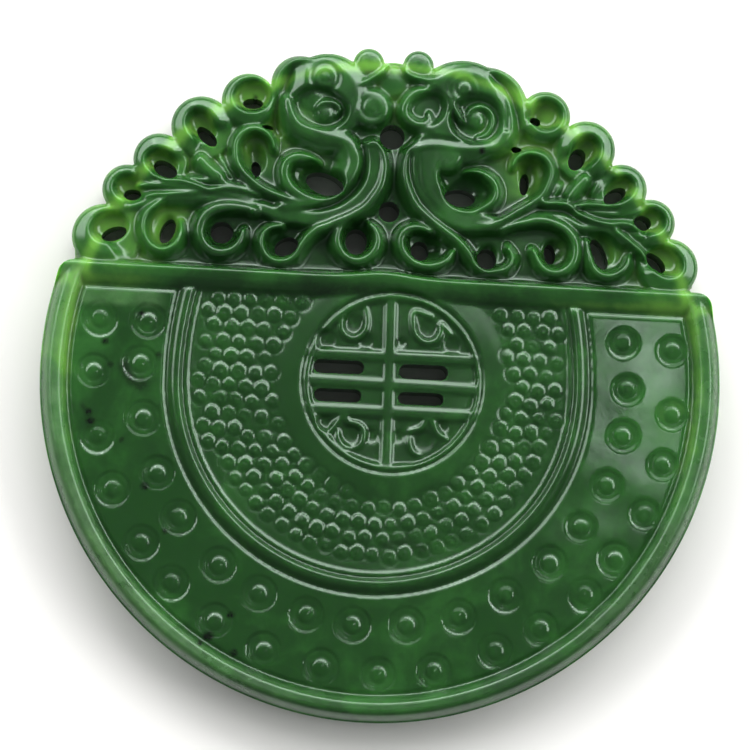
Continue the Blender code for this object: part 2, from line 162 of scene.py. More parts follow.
def band_distance(x, y):
    """Distance from the band's centre, stretched above it so that the sides run up straighter."""
    stretch = np.where(y > BAND_CENTRE[1], 0.72, 1.0)
    return np.hypot(x - BAND_CENTRE[0], (y - BAND_CENTRE[1]) * stretch)


band_radius = band_distance(X, Y)
bearing = np.degrees(np.arctan2(Y, X))
wide_spot = 0.55 * np.exp(-((bearing + 35) / 24) ** 2)
BAND_SECTION = [
    (16.9, FIELD), (17.2, FIELD + 0.02), (17.42, 4.6), (17.58, 4.58), (17.78, 4.4), (18.05, 4.92),
    (18.25, 4.97), (18.6, 4.93), (18.9, 4.74), (19.2, 4.42), (19.4, 4.38), (19.58, 4.5), (19.75, PANEL),
]
band = section(band_radius - 0.35 * wide_spot, BAND_SECTION)
inside_panel = smooth_step(band_radius - wide_spot, 19.6, 19.75)
Z[:] = np.where(band_radius - wide_spot <= BAND_OUTSIDE, band, base)
print("band top at", round(float(band.max()), 2), "mm")


# %% Where the mouldings meet
def blend_high(a, b, soft):
    """The higher of two heights, with a small fillet where they meet."""
    gap = np.clip(soft - np.abs(a - b), 0, None)
    return np.maximum(a, b) + gap * gap / (4 * soft)


# The groove along the cut also crosses the two ends of the band
past_groove = smooth_step(from_chord, 1.75, 2.15)
Z[:] = Z * past_groove + np.minimum(Z, GROOVE_FLOOR + 0.15) * (1 - past_groove)
Z[:] = blend_high(Z, np.maximum(rim, chord), 0.06)
print("rim top at", round(float(rim.max()), 2), "mm, field at", FIELD, "mm")

# %% [markdown]
# ## The pierced medallion
#
# A round lattice sits in the middle of the field: a ring with a fine groove in it, one upright bar
# and three cross bars, with four long slots cut right through between them. Each quarter has small
# curls and a few round pits. Bars joined by booleans would meet in hard corners; as heights they run
# into the ring and into each other softly. The pits come first, so that the bars stay whole.

# %% The ring
MEDALLION = (1.05, -0.05)
MEDALLION_FLOOR = 4.32
RING_GROOVE = 8.42
RING_OUTSIDE = 10.7
from_medallion = np.hypot(X - MEDALLION[0], Y - MEDALLION[1])
RING_SECTION = [
    (0.0, MEDALLION_FLOOR), (7.1, MEDALLION_FLOOR), (7.35, 4.42), (7.65, 4.68), (7.82, 4.76),
    (7.98, 4.76), (8.2, 4.45), (8.42, 4.74), (8.58, 4.76), (8.95, 4.71), (9.8, 4.58), (10.5, 4.42),
    (RING_OUTSIDE, FIELD),
]
ring = section(from_medallion, RING_SECTION)
raised = np.where(from_medallion < RING_OUTSIDE, np.maximum(Z, ring), Z)
Z[:] = np.where(from_medallion < RING_GROOVE, ring, raised)
print("ring top at", round(float(ring.max()), 2), "mm")

# %% [markdown]
# ## Rulers for the carving
#
# A carver marks a line on the stone and works at a distance from it. The next helpers do the same:
# `window` cuts out the part of the sheet around a spot, and `oval` measures how far every height in
# it lies from an oval. Each tool changes only its own window, so a few hundred strokes take seconds.


# %% Windows, ovals and dishes
def window(x0, x1, y0, y1):
    """The part of the sheet that covers a small area."""
    columns = slice(max(0, int((x0 + EDGE) / PITCH)), max(0, int((x1 + EDGE) / PITCH) + 2))
    rows = slice(max(0, int((y0 + EDGE) / PITCH)), max(0, int((y1 + EDGE) / PITCH) + 2))
    return rows, columns


def oval(x, y, length, width, turn, reach):
    """Distance outside (+) or inside (-) an oval, for the heights up to reach outside it."""
    size = max(length, width) / 2 + reach
    area = window(x - size, x + size, y - size, y + size)
    c, s = math.cos(math.radians(turn)), math.sin(math.radians(turn))
    u = ((X[area] - x) * c + (Y[area] - y) * s) / (length / 2)
    v = (-(X[area] - x) * s + (Y[area] - y) * c) / (width / 2)
    f = np.hypot(u, v) + 1e-6
    slope = np.hypot(u / (length / 2), v / (width / 2)) / f + 1e-6
    return area, (f - 1) / slope


def hollow(x, y, length, width, turn, floor, wall, rise=0.0, towards=(0, 0)):
    """Sink an oval dish; its floor climbs by rise for each millimetre away from a point."""
    area, distance = oval(x, y, length, width, turn, wall)
    away = np.hypot(X[area] - towards[0], Y[area] - towards[1]) if rise else 0
    bottom = floor + rise * away
    inside = smooth_step(-distance, -wall / 2, wall / 2)
    Z[area] = Z[area] * (1 - inside) + np.minimum(Z[area], bottom) * inside


# %% Round pits
# x, y, size
PITS = [
    (-2.7, 5.15, 0.85), (-5.1, 3.6, 0.8), (-1.5, 3.55, 0.6), (4.0, 4.9, 0.85), (6.4, 3.6, 0.75),
    (1.75, 3.6, 0.35), (-2.6, -4.95, 0.85), (-4.9, -3.9, 0.65), (-0.6, -5.0, 0.6), (4.1, -5.2, 0.9),
    (5.8, -3.9, 0.55), (1.8, -5.0, 0.5),
]
for x, y, size in PITS:
    hollow(x, y, 2.1 * size, 2.1 * size, 0, 4.08, 0.4, 0.12, (x, y))
print(len(PITS), "round pits")

# %% [markdown]
# ## A ridge with two different sides
#
# The bars of the lattice and nearly every line of the crest are ridges, most of them with a steep
# inner wall and a longer slope outside. A bevelled curve object would be round and even all along,
# so `curl` takes a reach for each side, and lets the stroke thin out and sink at its ends.


# %% How far every height lies from a line
def along_line(line, reach):
    """For the points near a line: their distance, how far along (0 to 1), and the side."""
    area = window(line[:, 0].min() - reach, line[:, 0].max() + reach,
                  line[:, 1].min() - reach, line[:, 1].max() + reach)
    px, py = X[area], Y[area]
    top_left = (area[0].start, area[1].start)
    distance = np.full(px.shape, 9e9)
    place = np.zeros(px.shape)
    which = np.zeros(px.shape)
    lengths = np.hypot(*(line[1:] - line[:-1]).T)
    starts = np.concatenate([[0], np.cumsum(lengths)])
    for (ax, ay), (bx, by), length, start in zip(line, line[1:], lengths, starts):
        if length < 1e-9:
            continue
        near = window(min(ax, bx) - reach, max(ax, bx) + reach, min(ay, by) - reach, max(ay, by) + reach)
        near = tuple(slice(s.start - o, min(s.stop - o, n)) for s, o, n in zip(near, top_left, px.shape))
        x, y = px[near], py[near]
        ux, uy = (bx - ax) / length, (by - ay) / length
        t = np.clip((x - ax) * ux + (y - ay) * uy, 0, length)
        dx, dy = x - ax - t * ux, y - ay - t * uy
        d = np.hypot(dx, dy)
        closer = d < distance[near]
        distance[near] = np.where(closer, d, distance[near])
        place[near] = np.where(closer, (start + t) / starts[-1], place[near])
        which[near] = np.where(closer, ux * dy - uy * dx, which[near])
    return area, distance, place, which


# %% A ridge along a line
END_DROP = 0.45
END_SHARE = 0.3
CROWN_ROUNDING = 0.02


def taper(place, ends):
    """How full a stroke is: 1 in the middle, and the given amounts at its two ends."""
    start = ends[0] + (1 - ends[0]) * np.sin(np.clip(place / END_SHARE, 0, 1) * math.pi / 2)
    finish = ends[1] + (1 - ends[1]) * np.sin(np.clip((1 - place) / END_SHARE, 0, 1) * math.pi / 2)
    return np.minimum(start, finish)


def curl(knots, left, right, top=5.45, foot=3.6, ends=(0.55, 0.55), flat=0.25, bulge=1.1):
    """left and right are how far each slope reaches; flat is the half width of the top."""
    line = curve_through(knots)
    area, distance, place, which = along_line(line, max(left, right) + 0.2)
    full = taper(place, ends)
    reach = np.where(which > 0, left, right) * full
    crown_width = flat * full
    down = (distance - crown_width) / (reach - crown_width)
    fall = (np.sqrt(down.clip(0) ** 2 + CROWN_ROUNDING) - CROWN_ROUNDING ** 0.5).clip(0) ** bulge
    crown = top - END_DROP * (1 - full)
    height = crown - (crown - foot) * fall
    Z[area] = np.where(distance < reach, blend_high(Z[area], height, 0.1), Z[area])


# %% Bars of the lattice
BAR_TOP = 4.62
BAR_FOOT = 4.25
curl([(0.6, 7.8), (0.7, 2.0), (0.75, -2.0), (0.8, -7.7)], 0.66, 0.66, BAR_TOP, BAR_FOOT, (1, 1), 0.32)
for left, right in ((2.3, 2.25), (-0.15, -0.4), (-2.75, -2.8)):
    cross_bar = [(-6.8, left), (0.7, (left + right) / 2), (8.8, right)]
    curl(cross_bar, 0.62, 0.62, BAR_TOP, BAR_FOOT, (1, 1), 0.3)

# Between the bars of the middle rows the floor was left higher
MIDDLE_FLOOR = 4.42
middle_rows = (np.abs(Y + 0.2) < 2.3) & (from_medallion < 7.3)
Z[:] = np.where(middle_rows, np.maximum(Z, MIDDLE_FLOOR), Z)
print("bars up to", BAR_TOP, "mm")

# %% Slots and small curls
# Slots: from x, to x, y, width
SLOTS = [
    (-6.2, -1.55, 1.15, 1.25), (1.6, 6.1, 1.0, 1.35), (-6.05, -1.7, -1.45, 1.2), (1.6, 5.8, -1.45, 1.15),
]
QUARTER_CURLS = [
    [(-4.9, 5.0), (-4.2, 5.9), (-3.6, 6.1), (-3.85, 5.4), (-3.75, 4.5), (-3.1, 3.9), (-2.3, 3.9), (-1.6, 4.6),
     (-1.45, 5.6), (-1.7, 6.9)],
    [(4.4, 6.15), (2.85, 6.5), (2.7, 5.5), (3.0, 4.4), (3.9, 3.75), (4.9, 4.0), (5.35, 4.9), (5.3, 5.5),
     (6.2, 4.6)],
    [(-4.6, -5.0), (-3.8, -4.0), (-3.2, -3.2), (-2.8, -3.8), (-1.9, -4.0), (-1.35, -4.6), (-1.5, -5.7),
     (-2.1, -6.2)],
    [(2.8, -4.4), (3.8, -4.1), (4.4, -3.3), (4.9, -3.5), (5.3, -4.4), (6.2, -5.0)],
]
CURL_FOOT = 4.1


def ridge(knots, width, top, foot, ends=(0.5, 0.5), round_off=2.4, soft=0.08):
    """A round-topped bar; width is half its width, and a higher round_off squares it."""
    line = curve_through(knots)
    area, distance, place, _ = along_line(line, width + 0.3)
    full = taper(place, ends)
    across = distance / (width * full)
    rise = np.clip(1 - np.clip(across, 0, 1) ** round_off, 0, 1) ** 0.5
    crown = foot + (top - foot) * (1 - END_DROP + END_DROP * full)
    height = foot + (crown - foot) * rise
    Z[area] = np.where(across < 1, blend_high(Z[area], height, soft), Z[area])


for knots in QUARTER_CURLS:
    ridge(knots, 0.36, BAR_TOP, CURL_FOOT, ends=(0.7, 0.6), round_off=2.2, soft=0.15)
ridge([(-3.75, -4.6), (-3.7, -5.3), (-3.2, -6.0), (-2.4, -6.3)], 0.34, BAR_TOP, CURL_FOOT, soft=0.15)
ridge([(2.8, -4.8), (2.85, -5.6), (3.2, -6.3), (3.9, -6.6)], 0.32, BAR_TOP - 0.04, CURL_FOOT, soft=0.15)
print(len(QUARTER_CURLS), "quarters,", len(SLOTS), "slots")

# %% [markdown]
# ## The drilled bosses
#
# Two rows of bosses follow the rim. A tube drill cuts a round trench, and what it leaves in the
# middle is rounded off. The drill was never held quite upright, so each trench is a little deeper
# on one side. Copies of one boss would look cast in a mould, so a loop with a seeded random
# generator gives every boss its own small error.


# %% Domes and drilled rings
def dome(x, y, radius, foot, top, flat):
    """A round boss; flat 2 is part of a ball, and more is flatter on top."""
    area, distance = oval(x, y, 2 * radius, 2 * radius, 0, 0.3)
    across = np.clip(1 + distance / radius, 0, 1)
    height = foot + (top - foot) * np.sqrt(1 - across ** flat)
    Z[area] = np.where(distance < 0, blend_high(Z[area], height, 0.05), Z[area])


def drill_ring(x, y, radius, width, depth):
    """A round groove, as a tube drill leaves it."""
    area, distance = oval(x, y, 2 * radius, 2 * radius, 0, width + 0.2)
    across = np.clip(np.abs(distance) / width, 0, 1)
    Z[area] -= depth * (1 - across * across)


# %% Two rows of bosses
BOSS_CENTRE = (0.35, -0.1)

# The radius of each row, and where round it each boss sits, in degrees
BOSS_ROWS = (
    (22.2, (168, 178, 191, 204, 216, 230, 242, 254, 265, 278, 290, 302, 315, 326, 338, 350, 361, 372)),
    (26.5, (170, 180, 193, 204, 216, 226, 237, 248, 260, 271, 282, 295, 305, 316, 325, 336, 346, 356, 369)),
)
BOSS_REACH = 1.56
SMALL_BOSS_REACH = 1.3
BOSS_LEAN = 0.05
BOWL_SECTION = [
    (-0.2, 4.52), (0.7, 4.47), (0.92, 4.44), (1.1, 4.5), (1.25, 4.5), (1.38, 4.56), (1.49, 4.4),
    (1.6, PANEL + 0.02), (1.75, PANEL + 0.4),
]
hand = np.random.default_rng(7)


def boss(x, y):
    """A low stud in a round drilled bowl; the ones at the right end are smaller."""
    lean_x, lean_y = hand.normal(0, BOSS_LEAN, 2)
    reach = SMALL_BOSS_REACH if x > 15 and y > -13 else BOSS_REACH
    reach += hand.normal(0, 0.04)
    area, distance = oval(x, y, 2 * reach, 2 * reach, 0, 0.3)
    bowl = section((distance + reach) * BOSS_REACH / reach, BOWL_SECTION)
    tilt = 0.025 * ((X[area] - x) * lean_x + (Y[area] - y) * lean_y) / BOSS_LEAN
    Z[area] = np.where(distance < 0.25, np.minimum(Z[area], bowl + tilt), Z[area])
    dome(x + lean_x, y + lean_y, 0.78, 4.38, 4.65, flat=3.5)
    drill_ring(x + lean_x - 0.05, y + lean_y - 0.05, 0.36, 0.16, 0.03)


for row_radius, angles in BOSS_ROWS:
    for angle in angles:
        turn = math.radians(angle)
        wobble = hand.normal(0, 0.08, 2)
        boss(BOSS_CENTRE[0] + row_radius * math.cos(turn) + wobble[0],
             BOSS_CENTRE[1] + row_radius * math.sin(turn) + wobble[1])
    print(len(angles), "bosses in the row at", row_radius, "mm")

# %% [markdown]
# ## The grain field
#
# The field inside the band is packed with small round grains, like millet. The carver set them out
# by eye: level rows at the sides that turn into curved rows along the bottom. Here each row is laid
# by a loop, then the seeds push each other apart for a few rounds, as spacing by eye does.

# %% Sow the grains in rows
GRAIN_PITCH = 1.47
FIELD_INNER = 10.75
FIELD_OUTER = 16.35
FIELD_TOP = 6.95
FIRST_CURVED_ROW = 15.75
CURVED_FROM = 205
CURVED_SPAN = 130
FIRST_LEVEL_ROW = 6.75


def field_room(x, y):
    """How far inside the field a point is: above 0 is inside."""
    to_ring = np.hypot(x - MEDALLION[0], y - MEDALLION[1]) - FIELD_INNER
    right_room = np.where(x > 0, 0.35, 0.0) * np.clip((y + 8) / 8, 0, 1)
    to_band = FIELD_OUTER + right_room - band_distance(x, y)
    return np.minimum(np.minimum(to_band, to_ring), FIELD_TOP - y)


seeds = []
for row in range(5):
    row_radius = FIRST_CURVED_ROW - row * GRAIN_PITCH * 0.92
    steps = int(math.radians(CURVED_SPAN) * row_radius / GRAIN_PITCH)
    for step in range(steps + 1):
        turn = math.radians(CURVED_FROM + CURVED_SPAN * (step + 0.5 * (row % 2)) / steps)
        seeds.append((row_radius * math.cos(turn), row_radius * math.sin(turn)))
for row in range(11):
    y = FIRST_LEVEL_ROW - row * GRAIN_PITCH * 0.9
    for column in range(-13, 14):
        x = (column + 0.5 * (row % 2)) * GRAIN_PITCH * 1.04
        seeds.append((x, y - 0.02 * x))
seeds = np.array(seeds)
seeds = seeds[field_room(seeds[:, 0], seeds[:, 1]) > -0.25]
print(len(seeds), "seeds")

# %% Space them apart, as a carver's eye would
# Where two rows meet, the first seed keeps its place and the crowded one goes
kept = []
for seed in seeds:
    if all(np.hypot(*(seed - other)) > GRAIN_PITCH * 0.72 for other in kept):
        kept.append(seed)
seeds = np.array(kept) + hand.normal(0, 0.13, (len(kept), 2))

for _ in range(40):
    gap = seeds[:, None] - seeds[None]
    apart = np.hypot(gap[..., 0], gap[..., 1]) + np.eye(len(seeds)) * 9
    push = np.clip(GRAIN_PITCH * 0.97 - apart, 0, None) / apart
    seeds = seeds + 0.3 * (gap * push[..., None]).sum(axis=1)
    room = field_room(seeds[:, 0], seeds[:, 1])
    for axis, nudge in enumerate(((0.05, 0.0), (0.0, 0.05))):
        uphill = field_room(seeds[:, 0] + nudge[0], seeds[:, 1] + nudge[1]) - room
        seeds[:, axis] += np.where(room < 0, np.sign(uphill) * np.minimum(-room, 0.1) * 0.7, 0)
seeds = seeds[field_room(seeds[:, 0], seeds[:, 1]) > -0.2]

# %% Carve every grain
GRAIN_RADIUS = 0.66
for x, y in seeds:
    size = GRAIN_RADIUS * (1 + hand.normal(0, 0.07))
    lean_x, lean_y = hand.normal(0, 0.06, 2)
    drill_ring(x + lean_x, y + lean_y, size + 0.05, 0.17, 0.09)
    dome(x, y, size, FIELD - 0.1, FIELD + 0.13 + hand.normal(0, 0.04), flat=4)
    drill_ring(x - 0.04 + lean_x, y - 0.1 + lean_y, 0.32, 0.14, 0.1)
print(len(seeds), "grains")

# %% [markdown]
# ## The crest: ground and lobes
#
# Above the cut the stone was first lowered all over. Then the outer curls were rounded as a row of
# lobes, each with a dish sunk in it, open on the side where its stem runs in. A lobe is worked out
# from the distance to its circle, so its bevel has the same width all round without any modelling.

# %% Lobes along the top edge
CREST_GROUND = 3.75
LOBE_TOP = 5.5
HEAD_TOP = 5.45
DISH_FLOOR = 3.45

chord_back = np.where(Y < chord_edge + 0.4, chord, 0)
Z[:] = np.where(Y > chord_edge - 0.02, np.maximum(CREST_GROUND, chord_back), Z)


def lobe(x, y, size, opening=0, half=0, top=LOBE_TOP, bevel=1.35, slope=0.5):
    """A round boss with a bevelled rim, left low where its stem comes in."""
    area, distance = oval(x, y, 2 * size, 2 * size, 0, 0.8)
    inside = -distance
    broken_edge = 0.25 * np.clip(1 - inside / 0.22, 0, None) ** 2
    height = top - slope * np.clip(bevel - inside, 0, None) - broken_edge
    if half:
        stem_floor = 4.4
        turn = np.degrees(np.arctan2(Y[area] - y, X[area] - x)) - opening
        off = np.abs((turn + 180) % 360 - 180)
        height = stem_floor + (height - stem_floor) * smooth_step(off, half - 22, half + 14)
    Z[area] = np.where(inside > -0.35, blend_high(Z[area], height, 0.1), Z[area])


# x, y, radius, stem direction, half opening; dish x, y, length, width, turn; hole centre
LOBES = [
    (-25.75, 12.1, 2.95, 4, 54, -25.3, 13.0, 3.5, 2.8, 20, -24.9, 12.4),
    (-23.9, 16.5, 2.25, -15, 82, -23.8, 16.7, 2.7, 2.3, 0, -23.4, 16.0),
    (-21.1, 19.4, 2.35, -44, 61, -20.9, 19.1, 3.0, 2.3, -20, -20.5, 18.5),
    (-17.4, 22.6, 2.75, -53, 59, -17.4, 22.7, 3.1, 2.5, -50, -16.85, 21.7),
    (-13.2, 25.2, 2.45, 0, 0, -12.85, 25.6, 3.5, 3.0, 10, -12.8, 25.0),
    (14.0, 25.0, 2.3, 180, 20, 14.1, 25.1, 2.9, 2.9, 0, 13.1, 24.5),
    (17.9, 22.1, 2.65, -125, 45, 17.8, 21.9, 3.1, 2.5, 60, 17.1, 21.2),
    (21.3, 18.6, 2.3, 190, 70, 21.1, 18.6, 2.9, 2.2, 35, 20.7, 18.0),
    (24.1, 15.6, 2.2, 182, 75, 24.0, 15.8, 2.8, 2.4, 0, 23.35, 15.65),
    (25.9, 11.6, 2.65, 145, 40, 25.5, 12.2, 3.4, 2.6, -35, 24.7, 12.05),
]
HEADS = [(-8.6, 26.9, 2.6), (-6.0, 26.0, 3.85), (6.4, 25.1, 4.7), (8.4, 25.3, 4.0)]

for x, y, size, opening, half, *_ in LOBES:
    lobe(x, y, size, opening, half)
for x, y, size in HEADS:
    lobe(x, y, size, top=HEAD_TOP, bevel=1.2)
for *_, x, y, length, width, turn, hole_x, hole_y in LOBES:
    hollow(x, y, length - 0.25, width - 0.25, turn, DISH_FLOOR, 0.5, 0.25, (hole_x, hole_y))
print(len(LOBES), "lobes,", len(HEADS), "head circles")

# %% [markdown]
# ## Grooves and bevels
#
# The heads need two more strokes. `groove` sinks a round-bottomed cut, and `chamfer` planes one side
# of a line to a flat bevel. Rounding the edge instead would be easier, but a polished bevel mirrors
# a lamp along its whole width, so it shows as a pale band, and a round edge only as a line.

# %% Strokes that take stone away
BEVEL_SLOPE = 0.5


def groove(knots, width, depth, ends=(0.4, 0.4)):
    """Sink a round-bottomed cut below whatever is there."""
    line = curve_through(knots)
    area, distance, place, _ = along_line(line, width + 0.2)
    full = taper(place, ends)
    across = np.clip(distance / (width * full), 0, 1)
    Z[area] -= depth * full * (1 - across ** 2)


def chamfer(knots, reach, top=5.45, left=True):
    """Plane a flat bevel down one side of a line, seen along its direction."""
    line = curve_through(knots)
    area, distance, place, which = along_line(line, reach)
    this_side = (which > 0) == left
    cut = this_side & (distance < reach) & (place > 0) & (place < 1)
    Z[area] = np.where(cut, np.minimum(Z[area], top - BEVEL_SLOPE * distance), Z[area])


def arc(x, y, radius, first, last):
    """Points along part of a circle; the angles are in degrees."""
    count = max(3, int(abs(last - first) / 12))
    turn = np.radians(np.linspace(first, last, count))
    return [(x + radius * math.cos(a), y + radius * math.sin(a)) for a in turn]


# %% [markdown]
# ## The heads
#
# Two heads face each other at the top. Each is a smooth plate with a sunk mouth, a round eye in a
# drilled ring, a coiled lip and a chin curl, and a deep groove parts it from its mane. They could be
# sculpted with a brush, but a written stroke can be measured, moved and repeated. The strokes stand
# in the order of cutting: the large forms first, then the lips, the eyes and the lines.

# %% Left head
LEFT_EYE = (-6.3, 27.55)
LEFT_KNOB = (-2.35, 29.1, 1.4)
LEFT_MANE_GROOVE = [(-9.1, 28.7), (-9.6, 27.6), (-10.0, 26.0), (-10.4, 24.4), (-10.4, 22.6)]
groove(LEFT_MANE_GROOVE, 0.6, 1.3, ends=(0.3, 1))
chamfer([(-7.3, 29.3), (-8.0, 28.2), (-8.15, 26.8), (-8.1, 25.4), (-7.9, 24.2)], 1.3, left=False)
ridge([(-10.75, 26.5), (-10.35, 27.8), (-9.5, 28.7), (-8.7, 29.05), (-7.3, 29.15)], 0.42, 5.35, 4.3)
hollow(-6.6, 24.75, 4.9, 3.5, -12, 4.1, 0.5)
lobe(-7.1, 25.9, 1.5, top=4.6, bevel=1.4, slope=0.25)
dome(-6.2, 24.35, 0.95, 4.1, 4.75, flat=3)
LEFT_LIP = [(-7.0, 24.7), (-6.6, 25.15), (-5.9, 25.35), (-5.2, 25.2), (-4.85, 24.7), (-5.2, 24.1)]
ridge(LEFT_LIP, 0.36, 4.95, 4.1)
drill_ring(*LEFT_EYE, 1.2, 0.3, 0.25)
drill_ring(*LEFT_EYE, 0.55, 0.2, 0.12)
lobe(-1.95, 25.0, 1.75, top=5.3, bevel=0.8, slope=0.3)
groove(arc(-1.9, 25.0, 0.95, 100, 330) + [(-1.1, 24.5), (-1.5, 24.3)], 0.24, 0.25)
groove(arc(-1.9, 24.9, 0.45, 200, 420), 0.2, 0.22)
lobe(*LEFT_KNOB, top=5.0, bevel=0.9, slope=0.3)
ridge([(-3.8, 26.5), (-3.2, 26.95), (-1.9, 27.75), (-1.1, 28.4), (-0.7, 29.1)], 0.34, 5.4, 4.3)
print("left head, with its eye at", LEFT_EYE)

# %% Right head
RIGHT_EYE = (6.45, 27.1)
RIGHT_KNOB = (2.2, 29.1, 1.4)
lobe(*RIGHT_KNOB, top=5.0, bevel=0.9, slope=0.3)
RIGHT_MANE_GROOVE = [(8.7, 28.5), (9.5, 27.8), (10.3, 26.8), (10.9, 25.5), (11.25, 24.0), (11.2, 22.6)]
groove(RIGHT_MANE_GROOVE, 0.7, 1.2, ends=(0.3, 1))
RIGHT_MANE = [(8.2, 28.6), (9.1, 28.85), (10.1, 28.5), (10.95, 27.9), (11.5, 27.1), (12.0, 26.0)]
ridge(RIGHT_MANE, 0.42, 5.35, 4.3)
hollow(7.7, 24.4, 4.6, 4.2, 0, 4.2, 0.7)
dome(7.6, 24.35, 0.95, 4.15, 4.7, flat=3)
RIGHT_LIP = [
    (6.8, 24.7), (7.2, 25.3), (8.0, 25.6), (8.8, 25.3), (9.2, 24.6), (9.1, 23.7), (8.6, 23.0), (7.8, 22.75),
]
ridge(RIGHT_LIP, 0.34, 4.95, 4.1)
ridge([(4.95, 27.2), (5.4, 26.05), (5.75, 25.1), (6.5, 24.0)], 0.4, 5.45, 4.2)
drill_ring(*RIGHT_EYE, 0.75, 0.24, 0.22)
groove(arc(*RIGHT_EYE, 1.4, 120, 215), 0.24, 0.16)
groove(arc(*RIGHT_EYE, 1.4, -40, 60), 0.26, 0.2)
groove(arc(*RIGHT_EYE, 1.8, -30, 40), 0.2, 0.12)
hollow(3.0, 25.3, 3.4, 3.2, 0, 4.55, 0.8)
RIGHT_CHIN = [
    (4.6, 26.6), (3.3, 26.9), (2.2, 26.6), (1.4, 25.9), (1.05, 24.9), (1.5, 24.0), (2.5, 23.6), (3.4, 24.0),
    (3.3, 24.7),
]
ridge(RIGHT_CHIN, 0.62, 5.35, 4.2)
RIGHT_BROW = [
    (0.9, 29.0), (1.2, 28.3), (2.0, 27.9), (3.2, 27.75), (4.3, 28.0), (5.2, 28.5), (6.4, 28.9), (7.6, 28.9),
]
ridge(RIGHT_BROW, 0.34, 5.45, 4.3)
groove([(1.9, 27.6), (3.0, 27.1)], 0.3, 0.4)
lobe(0.0, 27.6, 1.5, top=4.55, bevel=1.2, slope=0.25)
print("right head, with its eye at", RIGHT_EYE)

# %% [markdown]
# ## The curls
#
# The rest of the crest is a web of curls. Tubes swept along curves would have the same round side
# left and right, so each curl is one `curl` call instead: the line of its top, the reach of the
# slope on its left and on its right, and its height. The stems come first and lie low, and the
# bodies and the large curls then run over them.

# %% Stems that run into the lobes
STEMS = [
    ([(-24.2, 14.7), (-22.6, 15.2), (-21.2, 15.75), (-19.5, 15.95), (-17.0, 16.0), (-14.0, 15.9),
      (-11.5, 15.5), (-9.0, 15.0)], 0.8, 0.9, 5.0),
    ([(-22.8, 16.9), (-21.5, 17.0), (-19.5, 17.0), (-17.5, 16.8), (-15.0, 16.5), (-12.5, 16.2)],
     0.6, 0.6, 5.1),
    ([(-21.7, 17.9), (-20.5, 17.5), (-19.0, 17.45), (-17.5, 17.1), (-16.5, 16.75), (-15.3, 16.95),
      (-14.2, 16.95), (-13.0, 16.75), (-11.8, 16.4)], 0.4, 0.35, 5.35),
    ([(-22.3, 15.9), (-21.5, 16.1), (-20.3, 16.2), (-18.5, 16.35), (-17.0, 16.5)], 0.35, 0.35, 5.3),
    ([(-18.4, 17.9), (-16.7, 17.6), (-14.9, 17.45), (-13.3, 17.2), (-12.0, 16.8)], 0.35, 0.35, 5.15),
    ([(-15.6, 19.9), (-15.2, 19.2), (-14.8, 18.5), (-14.2, 17.7)], 0.4, 0.35, 4.7),
    ([(9.0, 14.2), (10.5, 14.5), (12.0, 15.3), (14.0, 15.8), (16.0, 15.7), (17.5, 15.0), (18.8, 14.9),
      (20.3, 14.6), (21.6, 13.6)], 0.7, 0.7, 4.95),
    ([(13.3, 17.1), (14.5, 16.95), (15.3, 17.0), (16.3, 16.9), (17.0, 16.4)], 0.5, 0.5, 5.45),
    ([(16.5, 16.8), (18.4, 17.05), (20.1, 17.0), (21.3, 17.2), (22.3, 17.5), (23.2, 17.8)], 0.35, 0.4, 5.3),
    ([(16.8, 16.5), (17.8, 15.95), (18.95, 15.55), (20.1, 15.35), (21.0, 15.4), (22.0, 15.4), (23.0, 15.0)],
     0.4, 0.5, 5.4),
    ([(20.4, 15.2), (21.2, 14.5), (22.05, 13.85), (23.2, 12.95), (23.8, 12.2)], 0.4, 0.5, 5.4),
    ([(18.0, 16.45), (20.0, 16.3), (22.2, 16.4), (23.6, 17.0)], 0.5, 0.5, 4.9),
    ([(22.4, 14.6), (24.0, 14.2), (25.2, 14.0)], 0.5, 0.6, 4.8),
    ([(15.7, 19.0), (15.3, 18.2), (14.8, 17.5)], 0.4, 0.4, 4.6),
    ([(19.4, 19.3), (18.9, 18.5), (18.6, 17.9)], 0.4, 0.4, 4.7),
]
for knots, left, right, top in STEMS:
    curl(knots, left, right, top, foot=4.0, flat=0.12)
print(len(STEMS), "stems")

# %% Buds between the lobes
LEFT_BUD = [(-17.35, 19.4), (-16.8, 18.8), (-16.0, 18.2), (-14.9, 17.6)]
RIGHT_BUD = [(17.9, 19.3), (17.3, 18.6), (16.7, 17.8), (16.2, 17.1)]
curl(LEFT_BUD, 1.0, 0.95, 5.3, ends=(0.95, 0.2), flat=0.35)
curl(RIGHT_BUD, 0.8, 0.8, 5.3, ends=(0.95, 0.25), flat=0.3)

# %% The bodies, from the back of each head down to the neck
LEFT_BODY = [
    (-9.5, 25.2), (-9.2, 24.2), (-8.6, 23.2), (-7.6, 22.7), (-6.2, 22.45), (-4.8, 22.4), (-3.8, 21.9),
    (-3.3, 21.0), (-3.1, 19.9), (-3.4, 18.8), (-4.0, 17.8), (-4.9, 16.9), (-6.2, 16.2), (-8.0, 15.7),
    (-9.6, 15.4),
]
RIGHT_BODY = [
    (8.4, 28.4), (8.8, 27.5), (9.4, 26.9), (9.95, 26.05), (10.3, 24.9), (10.5, 23.8), (10.3, 22.9),
    (9.6, 22.3), (8.4, 22.0), (6.8, 21.9), (5.0, 22.05), (3.3, 22.0), (2.1, 21.7),
]
RIGHT_NECK = [
    (3.2, 21.6), (3.1, 20.0), (3.3, 18.6), (3.95, 17.3), (4.95, 16.2), (6.3, 15.35), (7.9, 14.95),
    (9.5, 14.9),
]
curl(LEFT_BODY, 0.62, 1.9, ends=(0.6, 0.6), flat=0.25, bulge=1.6)
curl(RIGHT_BODY, 1.3, 0.5, 5.5, ends=(0.6, 1), flat=0.22, bulge=1.5)
curl(RIGHT_NECK, 1.5, 1.5, 5.3, ends=(1, 0.6), flat=0.95)
